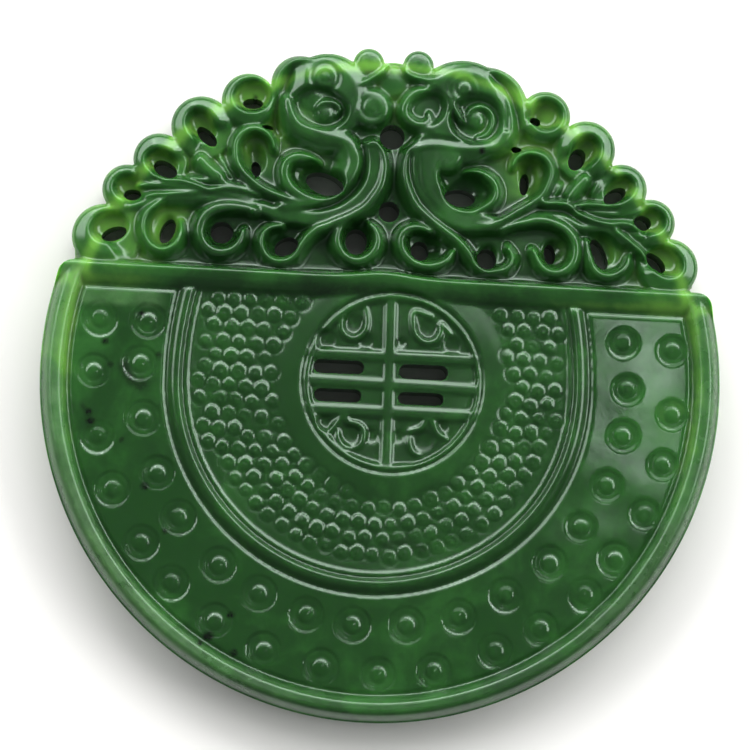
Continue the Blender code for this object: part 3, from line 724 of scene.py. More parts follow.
lobe(5.0, 20.9, 1.5, top=5.3, bevel=0.5, slope=0.2)

# %% Bevels along the backs
LEFT_BACK = [(-8.6, 24.2), (-8.0, 23.2), (-6.9, 22.5), (-5.2, 22.0), (-4.0, 21.6), (-3.2, 20.6)]
RIGHT_NAPE = [(8.6, 28.2), (9.2, 27.0), (9.6, 25.8), (9.8, 24.6), (9.8, 23.4)]
RIGHT_BACK = [(10.2, 23.2), (9.6, 22.0), (8.2, 21.6), (6.2, 21.5), (4.0, 21.7), (2.6, 21.3), (1.9, 20.4)]
chamfer(LEFT_BACK, 0.9, 5.5)
chamfer(RIGHT_NAPE, 0.9, 5.5)
chamfer(RIGHT_BACK, 0.9, 5.5, left=False)

# %% The flat straps of the necks
LEFT_NECK = [
    (-1.6, 21.4), (-1.4, 19.8), (-1.6, 18.2), (-2.3, 16.9), (-3.3, 15.9), (-4.6, 15.1), (-6.5, 14.6),
    (-9.0, 14.7), (-12.0, 15.2),
]
curl(LEFT_NECK, 0.95, 0.95, 5.1, ends=(1, 0.5), flat=0.6)
groove([(2.45, 21.2), (2.45, 19.4), (2.8, 17.8), (3.7, 16.4), (5.0, 15.3)], 0.45, 0.22)

# %% Curls of the left half
LEFT_CURLS = [
    ([(-20.3, 15.8), (-21.1, 15.1), (-21.9, 14.3), (-22.15, 13.2), (-21.9, 12.1), (-21.2, 11.35),
      (-20.3, 11.2), (-19.4, 11.7), (-19.0, 12.6), (-19.05, 13.5)], 0.4, 1.1, 0.15),
    ([(-11.9, 15.05), (-13.1, 15.15), (-14.4, 15.2), (-15.7, 14.95), (-16.6, 14.3), (-17.0, 13.2),
      (-16.8, 12.2), (-16.1, 11.4), (-15.1, 11.2), (-14.1, 11.5), (-13.4, 12.3), (-13.2, 13.2)],
     0.6, 1.05, 0.35),
    ([(-9.6, 13.7), (-10.5, 13.55), (-11.2, 13.0), (-11.4, 12.1), (-11.0, 11.2), (-10.2, 10.75), (-9.2, 10.7),
      (-8.4, 11.2), (-7.9, 12.0), (-7.3, 12.9), (-6.5, 13.6), (-5.5, 14.0), (-4.6, 14.45), (-3.9, 14.75),
      (-3.1, 15.2), (-2.1, 15.9), (-1.3, 16.95), (-0.8, 17.9), (-0.6, 18.9), (-0.55, 19.8), (-0.7, 20.6),
      (-1.0, 21.4), (-1.6, 21.75), (-2.2, 21.6)], 0.5, 1.0, 0.22),
    (arc(-2.7, 12.8, 1.8, 125, 415), 0.55, 0.95, 0.3),
    ([(-6.2, 18.7), (-6.6, 19.4), (-7.4, 19.9), (-8.4, 20.1), (-9.2, 19.8), (-9.6, 19.1), (-9.55, 18.2),
      (-9.1, 17.4), (-8.3, 16.85), (-7.3, 16.55)], 0.65, 0.75, 0.4),
    ([(-3.95, 19.2), (-3.85, 18.3), (-4.2, 17.4), (-4.9, 16.9), (-6.0, 16.65), (-7.2, 16.55), (-8.6, 16.7)],
     0.3, 0.25, 0.08),
    (arc(-12.45, 20.8, 1.7, 0, 195) + [(-14.0, 19.5), (-13.35, 18.55), (-12.3, 17.6), (-11.2, 16.95),
                                       (-9.9, 16.5), (-8.7, 16.2), (-7.6, 16.3)], 0.5, 0.8, 0.25),
]
for knots, left, right, flat in LEFT_CURLS:
    curl(knots, left, right, flat=flat)
dome(-12.3, 15.0, 0.55, 4.6, 5.55, flat=2)

# %% Curls of the right half
RIGHT_CURLS = [
    ([(2.2, 21.75), (1.6, 21.0), (1.4, 19.9), (1.5, 18.6), (2.0, 17.2), (2.7, 16.1), (3.8, 15.1), (4.9, 14.3),
      (5.8, 13.7), (6.6, 13.1), (7.3, 12.4), (7.9, 11.6), (8.6, 10.95), (9.5, 10.6), (10.5, 10.65),
      (11.2, 11.1), (11.45, 11.9), (11.0, 12.7)], 0.45, 1.05, 0.2),
    ([(10.4, 14.3), (11.5, 14.75), (12.6, 15.05), (13.8, 15.3), (15.1, 15.1), (16.2, 14.6), (17.0, 13.7),
      (17.2, 12.6), (16.9, 11.5), (16.0, 10.75), (15.0, 10.7), (14.2, 11.2), (13.75, 12.0), (13.4, 12.7)],
     0.9, 0.5, 0.3),
    ([(18.3, 13.7), (18.6, 12.6), (18.8, 11.6), (19.4, 10.85), (20.3, 10.6), (21.2, 10.9), (21.9, 11.6),
      (22.1, 12.4)], 0.4, 1.0, 0.2),
    ([(3.9, 13.8), (3.0, 14.15), (2.0, 14.0), (1.4, 13.4), (1.3, 12.6), (1.6, 11.8), (2.4, 11.1), (3.5, 10.8),
      (4.6, 10.85), (5.5, 11.3), (6.0, 12.1)], 0.55, 0.85, 0.3),
    ([(6.4, 18.8), (7.0, 19.2), (7.9, 19.3), (8.8, 19.1), (9.5, 18.5), (9.75, 17.7), (9.5, 16.9), (8.7, 16.3),
      (7.7, 15.9)], 0.8, 0.55, 0.25),
    ([(5.7, 21.1), (4.8, 20.4), (4.3, 19.4), (4.4, 18.3), (4.85, 17.2), (5.7, 16.4), (6.7, 15.85),
      (7.8, 15.85), (8.8, 16.4)], 0.3, 0.25, 0.08),
    ([(11.25, 20.2), (11.5, 20.9), (12.2, 21.35), (13.1, 21.45), (13.95, 21.2), (14.5, 20.6), (14.75, 19.8),
      (14.55, 18.9), (14.1, 17.9), (13.4, 17.15), (12.6, 16.6), (11.8, 16.1), (10.9, 15.5), (9.95, 14.95),
      (9.2, 14.65), (7.7, 14.65)], 0.7, 0.5, 0.25),
]
for knots, left, right, flat in RIGHT_CURLS:
    curl(knots, left, right, flat=flat)
print(len(LEFT_CURLS), "left curls,", len(RIGHT_CURLS), "right curls")

# %% [markdown]
# ## Recesses and fillets
#
# A drilled hole was opened with a dish first, so the walls of a curl lean in towards it. No wheel
# reaches into a sharp corner either, so the valleys between the curls are rounded. Bevelling every
# crossing would take hundreds of edges. A blurred copy of the sheet, lowered a little, lies above
# the sheet only in its narrow valleys, and there it takes over.

# %% Recesses around the drilled holes
BOWL_CLIMB = 1.5

# x, y, length, width, turn, floor
RECESSES = [
    (-20.2, 13.1, 3.6, 2.6, 75, 3.0), (-15.1, 12.9, 3.1, 2.9, 0, 3.0), (-9.6, 12.1, 3.0, 2.6, 35, 3.0),
    (-2.75, 12.95, 3.4, 2.8, 90, 3.0), (-12.3, 20.0, 3.7, 2.7, 100, 3.0), (-6.4, 18.2, 4.6, 3.3, -15, 2.8),
    (0.1, 22.4, 2.7, 2.6, 0, 3.0), (0.1, 15.6, 2.3, 2.4, 0, 3.2), (19.9, 13.0, 3.6, 2.6, -60, 3.0),
    (15.3, 12.8, 3.1, 2.8, 60, 3.0), (9.3, 12.1, 3.1, 2.7, 90, 3.0), (3.7, 12.4, 3.4, 2.8, 0, 3.0),
    (12.8, 19.4, 3.9, 2.7, 95, 3.0), (7.0, 17.8, 4.2, 3.6, 0, 2.8),
]
for x, y, length, width, turn, floor in RECESSES:
    area, distance = oval(x, y, length, width, turn, 0.2)
    bowl = floor + BOWL_CLIMB * np.clip(1 + distance / (width / 2), 0, 1) ** 2
    inside = smooth_step(-distance, -0.1, 0.3)
    Z[area] = Z[area] * (1 - inside) + np.minimum(Z[area], bowl) * inside
print(len(RECESSES), "recesses")


# %% Fillets between the curls
def soften(sheet, size):
    """Blur a sheet a little, as polishing does. size is in millimetres."""
    reach = max(1, int(3 * size / PITCH))
    weights = np.exp(-0.5 * (np.arange(-reach, reach + 1) * PITCH / size) ** 2)
    weights /= weights.sum()
    for axis in (0, 1):
        padded = np.pad(sheet, [(reach, reach) if a == axis else (0, 0) for a in (0, 1)], mode="edge")
        sheet = sum(w * np.roll(padded, reach - k, axis) for k, w in enumerate(weights))
        sheet = sheet[reach:-reach, :] if axis == 0 else sheet[:, reach:-reach]
    return sheet


FILLET_BLUR = 0.5
FILLET_DEPTH = 0.45
valley = soften(Z, FILLET_BLUR) - FILLET_DEPTH
Z[:] = np.where(Y > chord_edge + 0.3, blend_high(Z, valley, 0.35), Z)
print("crest between", round(float(Z[Y > chord_edge + 1].min()), 2), "and", round(float(Z.max()), 2), "mm")

# %% [markdown]
# ## Outline and holes
#
# The outline is kept as a signed distance: below 0 is stone, above 0 is air. The plaque is a disc
# under a straight cut, the crest is the lobes with whatever lies between them, and every drilled
# hole is an oval taken away. Booleans on a mesh this fine are slow and may fail, while a distance
# takes one more hole in one line.

# %% Signed distance of the stone
BRIDGE = (0.0, 27.6, 1.8)
lobe_centres = [lobe_row[:2] for lobe_row in LOBES]
LEFT_FOOT = [(-28.4, 9.0), (-28.3, 11.0)]
RIGHT_FOOT = [(28.0, 10.6), (27.9, 9.0)]
HEAD_LINE = [(-8.6, 26.9), (-2.3, 28.5), (2.2, 28.5), (8.4, 25.3)]
CREST_BODY = LEFT_FOOT + lobe_centres[:5] + HEAD_LINE + lobe_centres[5:] + RIGHT_FOOT

# x, y, length, width, turn
HOLES = [
    (-24.9, 12.4, 2.4, 1.3, 20), (-23.4, 16.05, 1.65, 1.1, 0), (-20.5, 18.5, 2.4, 1.5, -30),
    (-16.85, 21.7, 2.4, 1.2, -45), (-12.8, 25.0, 1.9, 1.0, 0), (-11.35, 22.8, 1.1, 0.5, 0),
    (-20.05, 12.9, 2.4, 1.3, 70), (-15.1, 13.0, 2.1, 2.0, 0), (-9.15, 11.95, 2.3, 1.7, 30),
    (-2.8, 12.7, 2.4, 2.0, 90), (-12.25, 19.0, 1.5, 0.9, 100), (-5.9, 17.9, 3.6, 2.0, -20),
    (0.1, 22.5, 2.3, 2.3, 0), (0.1, 15.6, 1.9, 1.9, 0),
    (24.7, 12.05, 2.3, 1.3, -40), (23.35, 15.65, 1.7, 1.4, 0), (20.7, 18.0, 2.4, 1.3, 35),
    (17.1, 21.2, 2.2, 1.5, 65), (13.1, 24.5, 1.1, 0.9, 0), (11.5, 21.85, 1.0, 0.6, 0),
    (19.5, 12.6, 3.0, 1.4, -65), (15.0, 12.4, 1.9, 1.1, 95), (9.2, 11.65, 2.0, 1.8, 90),
    (3.05, 12.1, 1.9, 1.7, 90), (12.4, 18.75, 2.1, 0.9, 85), (6.5, 17.2, 2.9, 1.7, 0),
]


def inside_polygon(points):
    """Which heights of the sheet lie inside a closed line."""
    inside = np.zeros(X.shape, bool)
    for (ax, ay), (bx, by) in zip(points, points[1:] + points[:1]):
        if ay != by:
            inside ^= ((ay > Y) != (by > Y)) & (X < (bx - ax) * (Y - ay) / (by - ay) + ax)
    return inside


CORNER = 1.1
WELL_INSIDE = -0.6
disc = radius - DISC_RADIUS
cut = -from_chord
corner = np.hypot(np.clip(disc + CORNER, 0, None), np.clip(cut + CORNER, 0, None)) - CORNER
outline = np.where((disc > -CORNER) & (cut > -CORNER), corner, np.maximum(disc, cut))
outline = np.where(inside_polygon(CREST_BODY), np.minimum(outline, WELL_INSIDE), outline)
for x, y, size, *_ in LOBES + HEADS + [LEFT_KNOB, RIGHT_KNOB, BRIDGE]:
    outline = np.minimum(outline, np.hypot(X - x, Y - y) - size)
edge_distance = outline.copy()
for x, y, length, width, turn in HOLES:
    area, distance = oval(x, y, length, width, turn, 1.0)
    outline[area] = np.maximum(outline[area], -distance)
for first, last, row, width in SLOTS:
    half = width / 2
    gap = np.hypot(X - np.clip(X, first + half, last - half), Y - row) - half
    outline = np.maximum(outline, -gap)
stone_area = float((outline < 0).sum()) * PITCH ** 2
print("stone covers", round(stone_area), "square millimetres,", len(HOLES), "holes")

# %% [markdown]
# ## Hand finish
#
# Nothing cut by hand is quite flat. A few long, shallow waves make the polished faces catch the
# light unevenly, as real ones do. A bump in the material could do it too, but waves this long
# belong to the shape. They are sums of sines from a seeded generator.

# %% Waves of the hand-held wheel
WAVE_HEIGHT = 0.0022
waves = np.zeros_like(Z)
for _ in range(24):
    wave_length = hand.uniform(3.0, 12.0)
    turn = hand.uniform(0, math.pi)
    phase = hand.uniform(0, 2 * math.pi)
    along_wave = X * math.cos(turn) + Y * math.sin(turn)
    waves += WAVE_HEIGHT * wave_length ** 0.5 * np.sin(2 * math.pi * along_wave / wave_length + phase)

# The right of the panel was polished flatter, and the crest, which sticks up, was worn softer
calm = smooth_step(X, 12, 18) * (Y < chord_edge)
Z += waves * (1 - 0.65 * calm)
soft_crest = smooth_step(Y - chord_edge, 0.0, 0.6)
Z = soften(Z, 0.12) * (1 - soft_crest) + soften(Z, 0.15) * soft_crest
Z = np.clip(Z, 1.6, THICKNESS)
print("waves up to", round(float(np.abs(waves).max()), 3), "mm")

# %% [markdown]
# ## What the stone does to the light
#
# Jade is translucent, so a thin or outer part of it looks lighter and yellower than the thick
# middle; here that light is painted into the colour as a glow, stronger in the upper half. It also
# has clouds, dark specks and a few veins, and where the wheel was not polished out the surface stays
# matt. Shade is painted too: darker recesses, and one dark strip along the straight cut. Each of
# these is worked out here as a sheet of its own, from the same shapes as the carving, and goes onto
# the mesh as a named attribute for the material to read.

# %% Light through the stone
# Clouds: x, y, size, strength
CLOUDS = [
    (-27.5, 4.0, 4.5, 0.25), (-29.5, -3.0, 4.0, 0.12), (-24.0, 14.0, 5.0, 0.14), (-14.5, 24.0, 4.0, 0.14),
    (26.0, -2.0, 6.0, 0.2), (24.0, 14.0, 6.0, 0.16), (13.0, 12.5, 3.5, 0.2), (12.0, 22.0, 4.0, 0.16),
    (-22.0, -8.0, 4.0, 0.1), (-6.0, -27.0, 6.0, 0.12), (2.0, -22.0, 6.0, -0.12), (8.0, 26.0, 4.0, 0.04),
    (1.7, -5.0, 0.9, 0.4), (-0.6, -5.0, 0.9, 0.4), (-6.5, 26.0, 2.5, 0.12), (0.0, 28.5, 3.0, 0.2),
    (-3.0, 14.0, 6.0, -0.15), (20.0, -16.0, 5.0, 0.08),
]
# Painted light: a glow of light through the stone is painted into the colour near the edge and over the thin
# parts, stronger in the upper half; the clouds lighten some spots and darken others
near_edge = np.exp(np.clip(edge_distance, -30, 0) / 1.6)
thin_parts = np.clip((4.6 - Z) / 1.1, 0, 1)
outer = smooth_step(radius, 17, 30)
lower_half = smooth_step(-Y, -8, 22)
edge_light = (0.38 - 0.3 * lower_half) * near_edge * (0.6 + 0.4 * outer)
light_through = edge_light + 0.8 * thin_parts * outer
for x, y, size, strength in CLOUDS:
    light_through += strength * np.exp(-((X - x) ** 2 + (Y - y) ** 2) / size ** 2)
# Painted light in the coves of the rim and of the straight cut, stronger in the upper half
rim_cove = np.exp(-((radius - 28.9) / 0.6) ** 2)
chord_cove = np.exp(-((from_chord - 1.7) / 0.6) ** 2) * smooth_step(np.abs(X + 4), 12, 26)
light_through += (0.55 - 0.45 * lower_half) * (rim_cove + chord_cove)
light_through = np.clip(light_through, 0, 1)
bright_share = float((light_through[outline < 0] > 0.4).mean())
print("light comes through", round(bright_share * 100), "% of the stone")

# %% Painted shade in the recesses
# Painted shade: the colour darkens where the stone lies below its blurred surroundings, as shade falls in
# grooves, valleys and the floor of the lattice, less so towards the rim
fine = np.clip((soften(Z, 0.45) - Z) / 0.3, 0, 1)
deep = np.clip((soften(Z, 1.3) - Z) / 0.9, 0, 1)
fine *= 1 - 0.55 * smooth_step(radius, 18, 27)
deep *= (1 - 0.85 * smooth_step(radius, 19, 26)) * (Y > chord_edge + 0.4)
painted_shade = np.maximum(fine, deep)
lattice_floor_shade = 0.75 * smooth_step(-Z, -4.55, -4.2)
painted_shade = np.where(from_medallion < 7.2, np.maximum(painted_shade, lattice_floor_shade), painted_shade)
print("recesses take", round(float((painted_shade[outline < 0] > 0.5).mean()) * 100), "% of the stone")

# %% Specks, veins and a strip of painted shade
# Specks: x, y, size. Veins and painted shade: line, width, strength
SPECKS = [
    (-26.4, -4.0, 0.32), (-26.2, -4.8, 0.38), (-25.2, 2.5, 0.3), (-24.6, 0.4, 0.2), (-21.0, -10.5, 0.35),
    (-14.6, -23.8, 0.5), (-12.7, -21.8, 0.3), (-12.2, -25.2, 0.3), (-15.3, -24.4, 0.25), (-23.3, -6.4, 0.22),
    (-19.0, -14.5, 0.2), (-22.0, 5.2, 0.2), (-12.6, 25.6, 0.16), (8.3, 21.45, 0.3), (-20.3, 1.5, 0.2),
]
VEINS_AND_SHADE = [
    ([(-23.4, 0.4), (-22.7, -0.8), (-21.9, -1.4), (-21.5, -1.2)], 0.5, 0.75),
    # Not a vein: painted shade in the hollow between the straight cut and the ring, drawn as a dark line
    ([(-7.0, 8.6), (-5.5, 8.0), (-3.5, 8.3), (-2.0, 8.0)], 0.7, 0.45),
    ([(1.0, -14.9), (3.0, -14.5), (4.5, -15.1)], 0.35, 0.4),
    ([(-27.0, -3.4), (-26.4, -4.4), (-26.3, -5.4)], 0.25, 0.5),
    ([(9.3, 15.9), (10.5, 16.2), (11.5, 16.0)], 0.3, 0.35),
]
inclusions_and_shade = np.zeros_like(Z)
for x, y, size in SPECKS:
    area, distance = oval(x, y, 2 * size, 2 * size * hand.uniform(0.6, 1.0), hand.uniform(0, 180), 0.3)
    inclusions_and_shade[area] = np.maximum(inclusions_and_shade[area], smooth_step(-distance, -0.2, 0.12))
for knots, width, strength in VEINS_AND_SHADE:
    area, distance, _, _ = along_line(curve_through(knots), 3 * width)
    inclusions_and_shade[area] = np.maximum(inclusions_and_shade[area], strength * np.exp(-(distance / width) ** 2))
print(len(SPECKS), "specks,", len(VEINS_AND_SHADE), "veins")

# %% Scuffs and polish
side_rim = smooth_step(radius, 28.7, 29.1) * smooth_step(-radius, -30.9, -30.5)
corner_scuff = smooth_step(Y, 5.6, 6.3) * smooth_step(-Y, -7.3, -7.0) * smooth_step(-X, 19.5, 21.5)
corner_scuff *= smooth_step(PANEL_RADIUS - radius, -0.3, 0.1)
worn = 0.1 + 0.75 * smooth_step(-X, 2, 22) + 0.45 * smooth_step(X, 12, 28)
scuffed = np.where(Y < chord_edge, np.clip(worn * side_rim + 0.8 * corner_scuff, 0, 1), 0)
high_polish = inside_panel * (Y < chord_edge - 2) * (radius < PANEL_RADIUS + 0.1)
masks = {
    "light through": light_through, "painted_shade": painted_shade, "inclusions_and_shade": inclusions_and_shade, "scuffed": scuffed,
    "high polish": high_polish,
}
print(len(masks), "sheets for the finish")

# %% [markdown]
# ## From heights to a closed mesh
#
# Each square of the sheet that is stone becomes two triangles. Squares on the outline are clipped
# along it, so the edge is smooth and not a staircase, and the crisp edges that a voxel remesh would
# round off are kept. The same triangles, turned over, make the back, and a strip of faces along
# every open edge closes the stone.

# %% Triangles of the sheet
MESH_STEP = 2
SPACING = PITCH * MESH_STEP
mesh_x, mesh_y = X[::MESH_STEP, ::MESH_STEP], Y[::MESH_STEP, ::MESH_STEP]
mesh_outline = outline[::MESH_STEP, ::MESH_STEP]
slope_y, slope_x = np.gradient(mesh_outline, SPACING)
steep = np.hypot(slope_x, slope_y).clip(0.3)
snap = np.abs(mesh_outline) < 0.3 * SPACING
points_x = np.where(snap, mesh_x - mesh_outline * slope_x / steep ** 2, mesh_x)
points_y = np.where(snap, mesh_y - mesh_outline * slope_y / steep ** 2, mesh_y)
state = np.where(snap, 0.0, mesh_outline).ravel()

rows, columns = mesh_x.shape
number = np.arange(rows * columns).reshape(rows, columns)
a, b, c, d = number[:-1, :-1], number[:-1, 1:], number[1:, 1:], number[1:, :-1]
flip = (np.add.outer(np.arange(rows - 1), np.arange(columns - 1)) % 2).astype(bool)
first = np.where(flip[..., None], np.stack([a, b, d], -1), np.stack([a, b, c], -1)).reshape(-1, 3)
second = np.where(flip[..., None], np.stack([b, c, d], -1), np.stack([a, c, d], -1)).reshape(-1, 3)
triangles = np.vstack([first, second])
signs = np.sign(state[triangles])
whole = (signs <= 0).all(1) & (signs < 0).any(1)
mixed = (signs > 0).any(1) & (signs < 0).any(1)
print(int(whole.sum()), "whole triangles,", int(mixed.sum()), "on the outline")

# %% Clip the triangles on the outline
flat_points = np.stack([points_x.ravel(), points_y.ravel()], -1)
cut_number = {}
cut_points = []


def cut_point(p, q):
    """The point where the outline crosses the edge between two heights."""
    key = (min(p, q), max(p, q))
    if key not in cut_number:
        share = state[p] / (state[p] - state[q])
        cut_number[key] = rows * columns + len(cut_points)
        cut_points.append(flat_points[p] * (1 - share) + flat_points[q] * share)
    return cut_number[key]


clipped = []
for triangle in triangles[mixed]:
    ring_of_points = []
    for p, q in zip(triangle, np.roll(triangle, -1)):
        if state[p] <= 0:
            ring_of_points.append(p)
        if state[p] * state[q] < 0:
            ring_of_points.append(cut_point(p, q))
    for k in range(1, len(ring_of_points) - 1):
        clipped.append((ring_of_points[0], ring_of_points[k], ring_of_points[k + 1]))
faces = np.vstack([triangles[whole], np.array(clipped)])
plan = np.vstack([flat_points, np.array(cut_points)])
used, faces = np.unique(faces, return_inverse=True)
faces = faces.reshape(-1, 3)
plan = plan[used]
print(len(faces), "faces on the front before thinning")


# %% Heights of the front and the back
def read_sheet(sheet, at):
    """The sheet's value at any points, between its four neighbours."""
    column = (at[:, 0] + EDGE) / PITCH
    row = (at[:, 1] + EDGE) / PITCH
    i = np.clip(row.astype(int), 0, sheet.shape[0] - 2)
    j = np.clip(column.astype(int), 0, sheet.shape[1] - 2)
    v, u = row - i, column - j
    return ((sheet[i, j] * (1 - u) + sheet[i, j + 1] * u) * (1 - v)
            + (sheet[i + 1, j] * (1 - u) + sheet[i + 1, j + 1] * u) * v)


BACK_ROUND = 1.0
front = read_sheet(Z, plan)
from_edge = np.clip(-read_sheet(edge_distance, plan) / BACK_ROUND, 0, 1)
back = BACK_ROUND * (1 - np.sqrt(1 - (1 - from_edge) ** 2))
count = len(plan)
vertices = np.vstack([np.column_stack([plan, front]), np.column_stack([plan, back])])

edges = np.vstack([faces[:, [0, 1]], faces[:, [1, 2]], faces[:, [2, 0]]])
keys = edges[:, 0] * count + edges[:, 1]
open_edges = edges[~np.isin(keys, edges[:, 1] * count + edges[:, 0])]
here, there = open_edges.T
walls = np.vstack([
    np.column_stack([there, here, here + count]),
    np.column_stack([there, here + count, there + count]),
])
all_faces = np.vstack([faces, faces[:, ::-1] + count, walls])
print(len(walls), "faces in the walls")

# %% Build it and thin the flat parts
carving = bpy.data.meshes.new("carved_jade")
carving.vertices.add(len(vertices))
carving.vertices.foreach_set("co", vertices.ravel())
carving.loops.add(3 * len(all_faces))
carving.loops.foreach_set("vertex_index", all_faces.ravel())
carving.polygons.add(len(all_faces))
carving.polygons.foreach_set("loop_start", np.arange(0, 3 * len(all_faces), 3))
carving.update(calc_edges=True)
carving.validate()
pendant = bpy.data.objects.new("carved_jade", carving)
bpy.context.scene.collection.objects.link(pendant)

FACE_LIMIT = 198000
keep = pendant.vertex_groups.new(name="back")
keep.add(list(range(count)), 0.0, "REPLACE")
keep.add(list(range(count, 2 * count)), 1.0, "REPLACE")
thinning = pendant.modifiers.new("Thin the flats", "DECIMATE")
thinning.ratio = min(1.0, FACE_LIMIT / len(all_faces))
thinning.vertex_group = keep.name
thinning.vertex_group_factor = 1.0
bpy.context.view_layer.update()
thinned = bpy.data.meshes.new_from_object(pendant.evaluated_get(bpy.context.evaluated_depsgraph_get()))
pendant.modifiers.clear()
pendant.vertex_groups.clear()
pendant.data = thinned
thinned.name = "carved_jade"
print(len(all_faces), "faces thinned to", len(thinned.polygons))

# %% [markdown]
# ## Smooth shading on fewer triangles
#
# Thinning keeps the number of triangles within bounds, but it moves points a little and its facets
# would show in the polish. So the front points are laid back on the sheet, and every corner gets the
# slope of the full sheet as its normal: that is what the light sees.

# %% Lay the front back on the sheet
FACES_UP = 0.12


def read_mesh(items, field, size, kind=float):
    """A field of all points, corners or faces of a mesh, as rows of numbers."""
    values = np.zeros(size * len(items), kind)
    items.foreach_get(field, values)
    return values.reshape(-1, size)


corner_vertex = read_mesh(thinned.loops, "vertex_index", 1, int)[:, 0]
face_up = np.repeat(read_mesh(thinned.polygons, "normal", 3)[:, 2], 3)
places = read_mesh(thinned.vertices, "co", 3)
on_front = np.zeros(len(thinned.vertices), bool)
on_front[corner_vertex[face_up > FACES_UP]] = True
places[on_front, 2] = read_sheet(Z, places[on_front, :2])
thinned.vertices.foreach_set("co", places.ravel())
print(int(on_front.sum()), "points on the front")

# %% Normals from the slopes of the full sheet
at = places[corner_vertex, :2]


def slope_at(sheet):
    """How steeply a sheet rises in x and in y, at every corner of the mesh."""
    rise_y, rise_x = np.gradient(sheet, PITCH)
    return np.column_stack([read_sheet(rise_x, at), read_sheet(rise_y, at)])


near_rim = (1 + read_sheet(edge_distance, at) / BACK_ROUND).clip(0, 0.999)[:, None]
upward = np.column_stack([-slope_at(Z), np.ones(len(at))])
outward = np.column_stack([slope_at(outline), np.full(len(at), 0.02)])
downward = np.column_stack([slope_at(edge_distance) * near_rim, -np.sqrt(1 - near_rim ** 2)])
towards_back = np.where(face_up[:, None] < -FACES_UP, downward, outward)
normals = np.where(face_up[:, None] > FACES_UP, upward, towards_back)
normals /= np.linalg.norm(normals, axis=1)[:, None].clip(1e-6)
for name, sheet in masks.items():
    layer = thinned.attributes.new(name, "FLOAT", "POINT")
    layer.data.foreach_set("value", read_sheet(sheet, places[:, :2]))
thinned.shade_smooth()
thinned.normals_split_custom_set(normals.tolist())
thinned.transform(Matrix.Translation(CENTRE) @ Matrix.Scale(MM, 4))

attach(pendant, "root")
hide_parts(NODE)

# %% [markdown]
# ## The jade
#
# Nephrite is a dense, slightly waxy green stone. A plain green would look like paint, so the colour
# moves between a deep green and a light yellow-green by how much light comes through, a glow painted
# into the colour, with cloudy noise in between, and subsurface scattering lets the light spread below
# the polish. Recesses are painted darker as painted shade; scuffed parts are paler and rougher.

# %% Helpers that wire nodes together
jade = bpy.data.materials.new("polished_jade")
jade.use_nodes = True
nodes, links = jade.node_tree.nodes, jade.node_tree.links
shader = nodes["Principled BSDF"]
place_in_stone = nodes.new("ShaderNodeTexCoord").outputs["Object"]


def plug(value, socket):
    """Set a socket to a plain value, or wire another socket into it."""
    if isinstance(value, bpy.types.NodeSocket):
        links.new(value, socket)
    else:
        socket.default_value = value


def attribute(name):
    """One of the sheets that the mesh carries."""
    node = nodes.new("ShaderNodeAttribute")
    node.attribute_name = name
    return node.outputs["Fac"]


def noise(scale, detail, roughness, distortion=0.0, stretch=(1, 1, 1)):
    """Noise in the stone; scale is in features for each metre."""
    mapping = nodes.new("ShaderNodeMapping")
    mapping.inputs["Scale"].default_value = stretch
    links.new(place_in_stone, mapping.inputs["Vector"])
    node = nodes.new("ShaderNodeTexNoise")
    node.inputs["Scale"].default_value = scale
    node.inputs["Detail"].default_value = detail
    node.inputs["Roughness"].default_value = roughness
    node.inputs["Distortion"].default_value = distortion
    links.new(mapping.outputs["Vector"], node.inputs["Vector"])
    return node.outputs["Fac"]


def spread(value, from_low, from_high, to_low=0.0, to_high=1.0):
    """Map one range of values to another, easing in and out."""
    node = nodes.new("ShaderNodeMapRange")
    node.interpolation_type = "SMOOTHSTEP"
    for socket, amount in zip(node.inputs, (value, from_low, from_high, to_low, to_high)):
        plug(amount, socket)
    return node.outputs["Result"]


def combine(operation, a, b):
    """Add or multiply two values."""
    node = nodes.new("ShaderNodeMath")
    node.operation = operation
    plug(a, node.inputs[0])
    plug(b, node.inputs[1])
    return node.outputs["Value"]


def mix_colour(amount, a, b):
    """Colour a where amount is 0, colour b where it is 1."""
    node = nodes.new("ShaderNodeMix")
    node.data_type = "RGBA"
    plug(amount, node.inputs["Factor"])
    plug(a, node.inputs["A"])
    plug(b, node.inputs["B"])
    return node.outputs["Result"]


# %% Colour of the jade
DEEP_GREEN = (0.011, 0.054, 0.010, 1)
MID_GREEN = (0.026, 0.12, 0.021, 1)
THIN_GREEN = (0.15, 0.36, 0.055, 1)
PAINTED_SHADE_GREEN = (0.007, 0.035, 0.006, 1)

clouds = noise(scale=130, detail=4, roughness=0.55, distortion=0.6)
mottling = noise(scale=520, detail=3, roughness=0.6, distortion=0.4)
# The painted glow of light through the stone moves the colour towards a light yellow-green
amount = combine("ADD", attribute("light through"), spread(clouds, 0.3, 0.7, -0.16, 0.2))
amount = combine("ADD", amount, spread(mottling, 0.25, 0.75, -0.06, 0.07))
colour = mix_colour(spread(amount, 0.0, 0.45), DEEP_GREEN, MID_GREEN)
colour = mix_colour(spread(amount, 0.35, 1.0), colour, THIN_GREEN)
# Painted shade: the recesses are darkened towards a deep green
colour = mix_colour(combine("MULTIPLY", attribute("painted_shade"), 0.85), colour, PAINTED_SHADE_GREEN)

# %% Scuffs, inclusions and painted shade over the colour
INCLUSION_AND_SHADE = (0.002, 0.003, 0.002, 1)
SCUFFED_GREEN = (0.16, 0.32, 0.13, 1)

streaks = noise(scale=500, detail=4, roughness=0.65, stretch=(1, 1, 4))
scuffs = combine("MULTIPLY", attribute("scuffed"), spread(streaks, 0.3, 0.75, 0.4, 1.0))
colour = mix_colour(combine("MULTIPLY", scuffs, 0.5), colour, SCUFFED_GREEN)
grit = noise(scale=2600, detail=2, roughness=0.6)
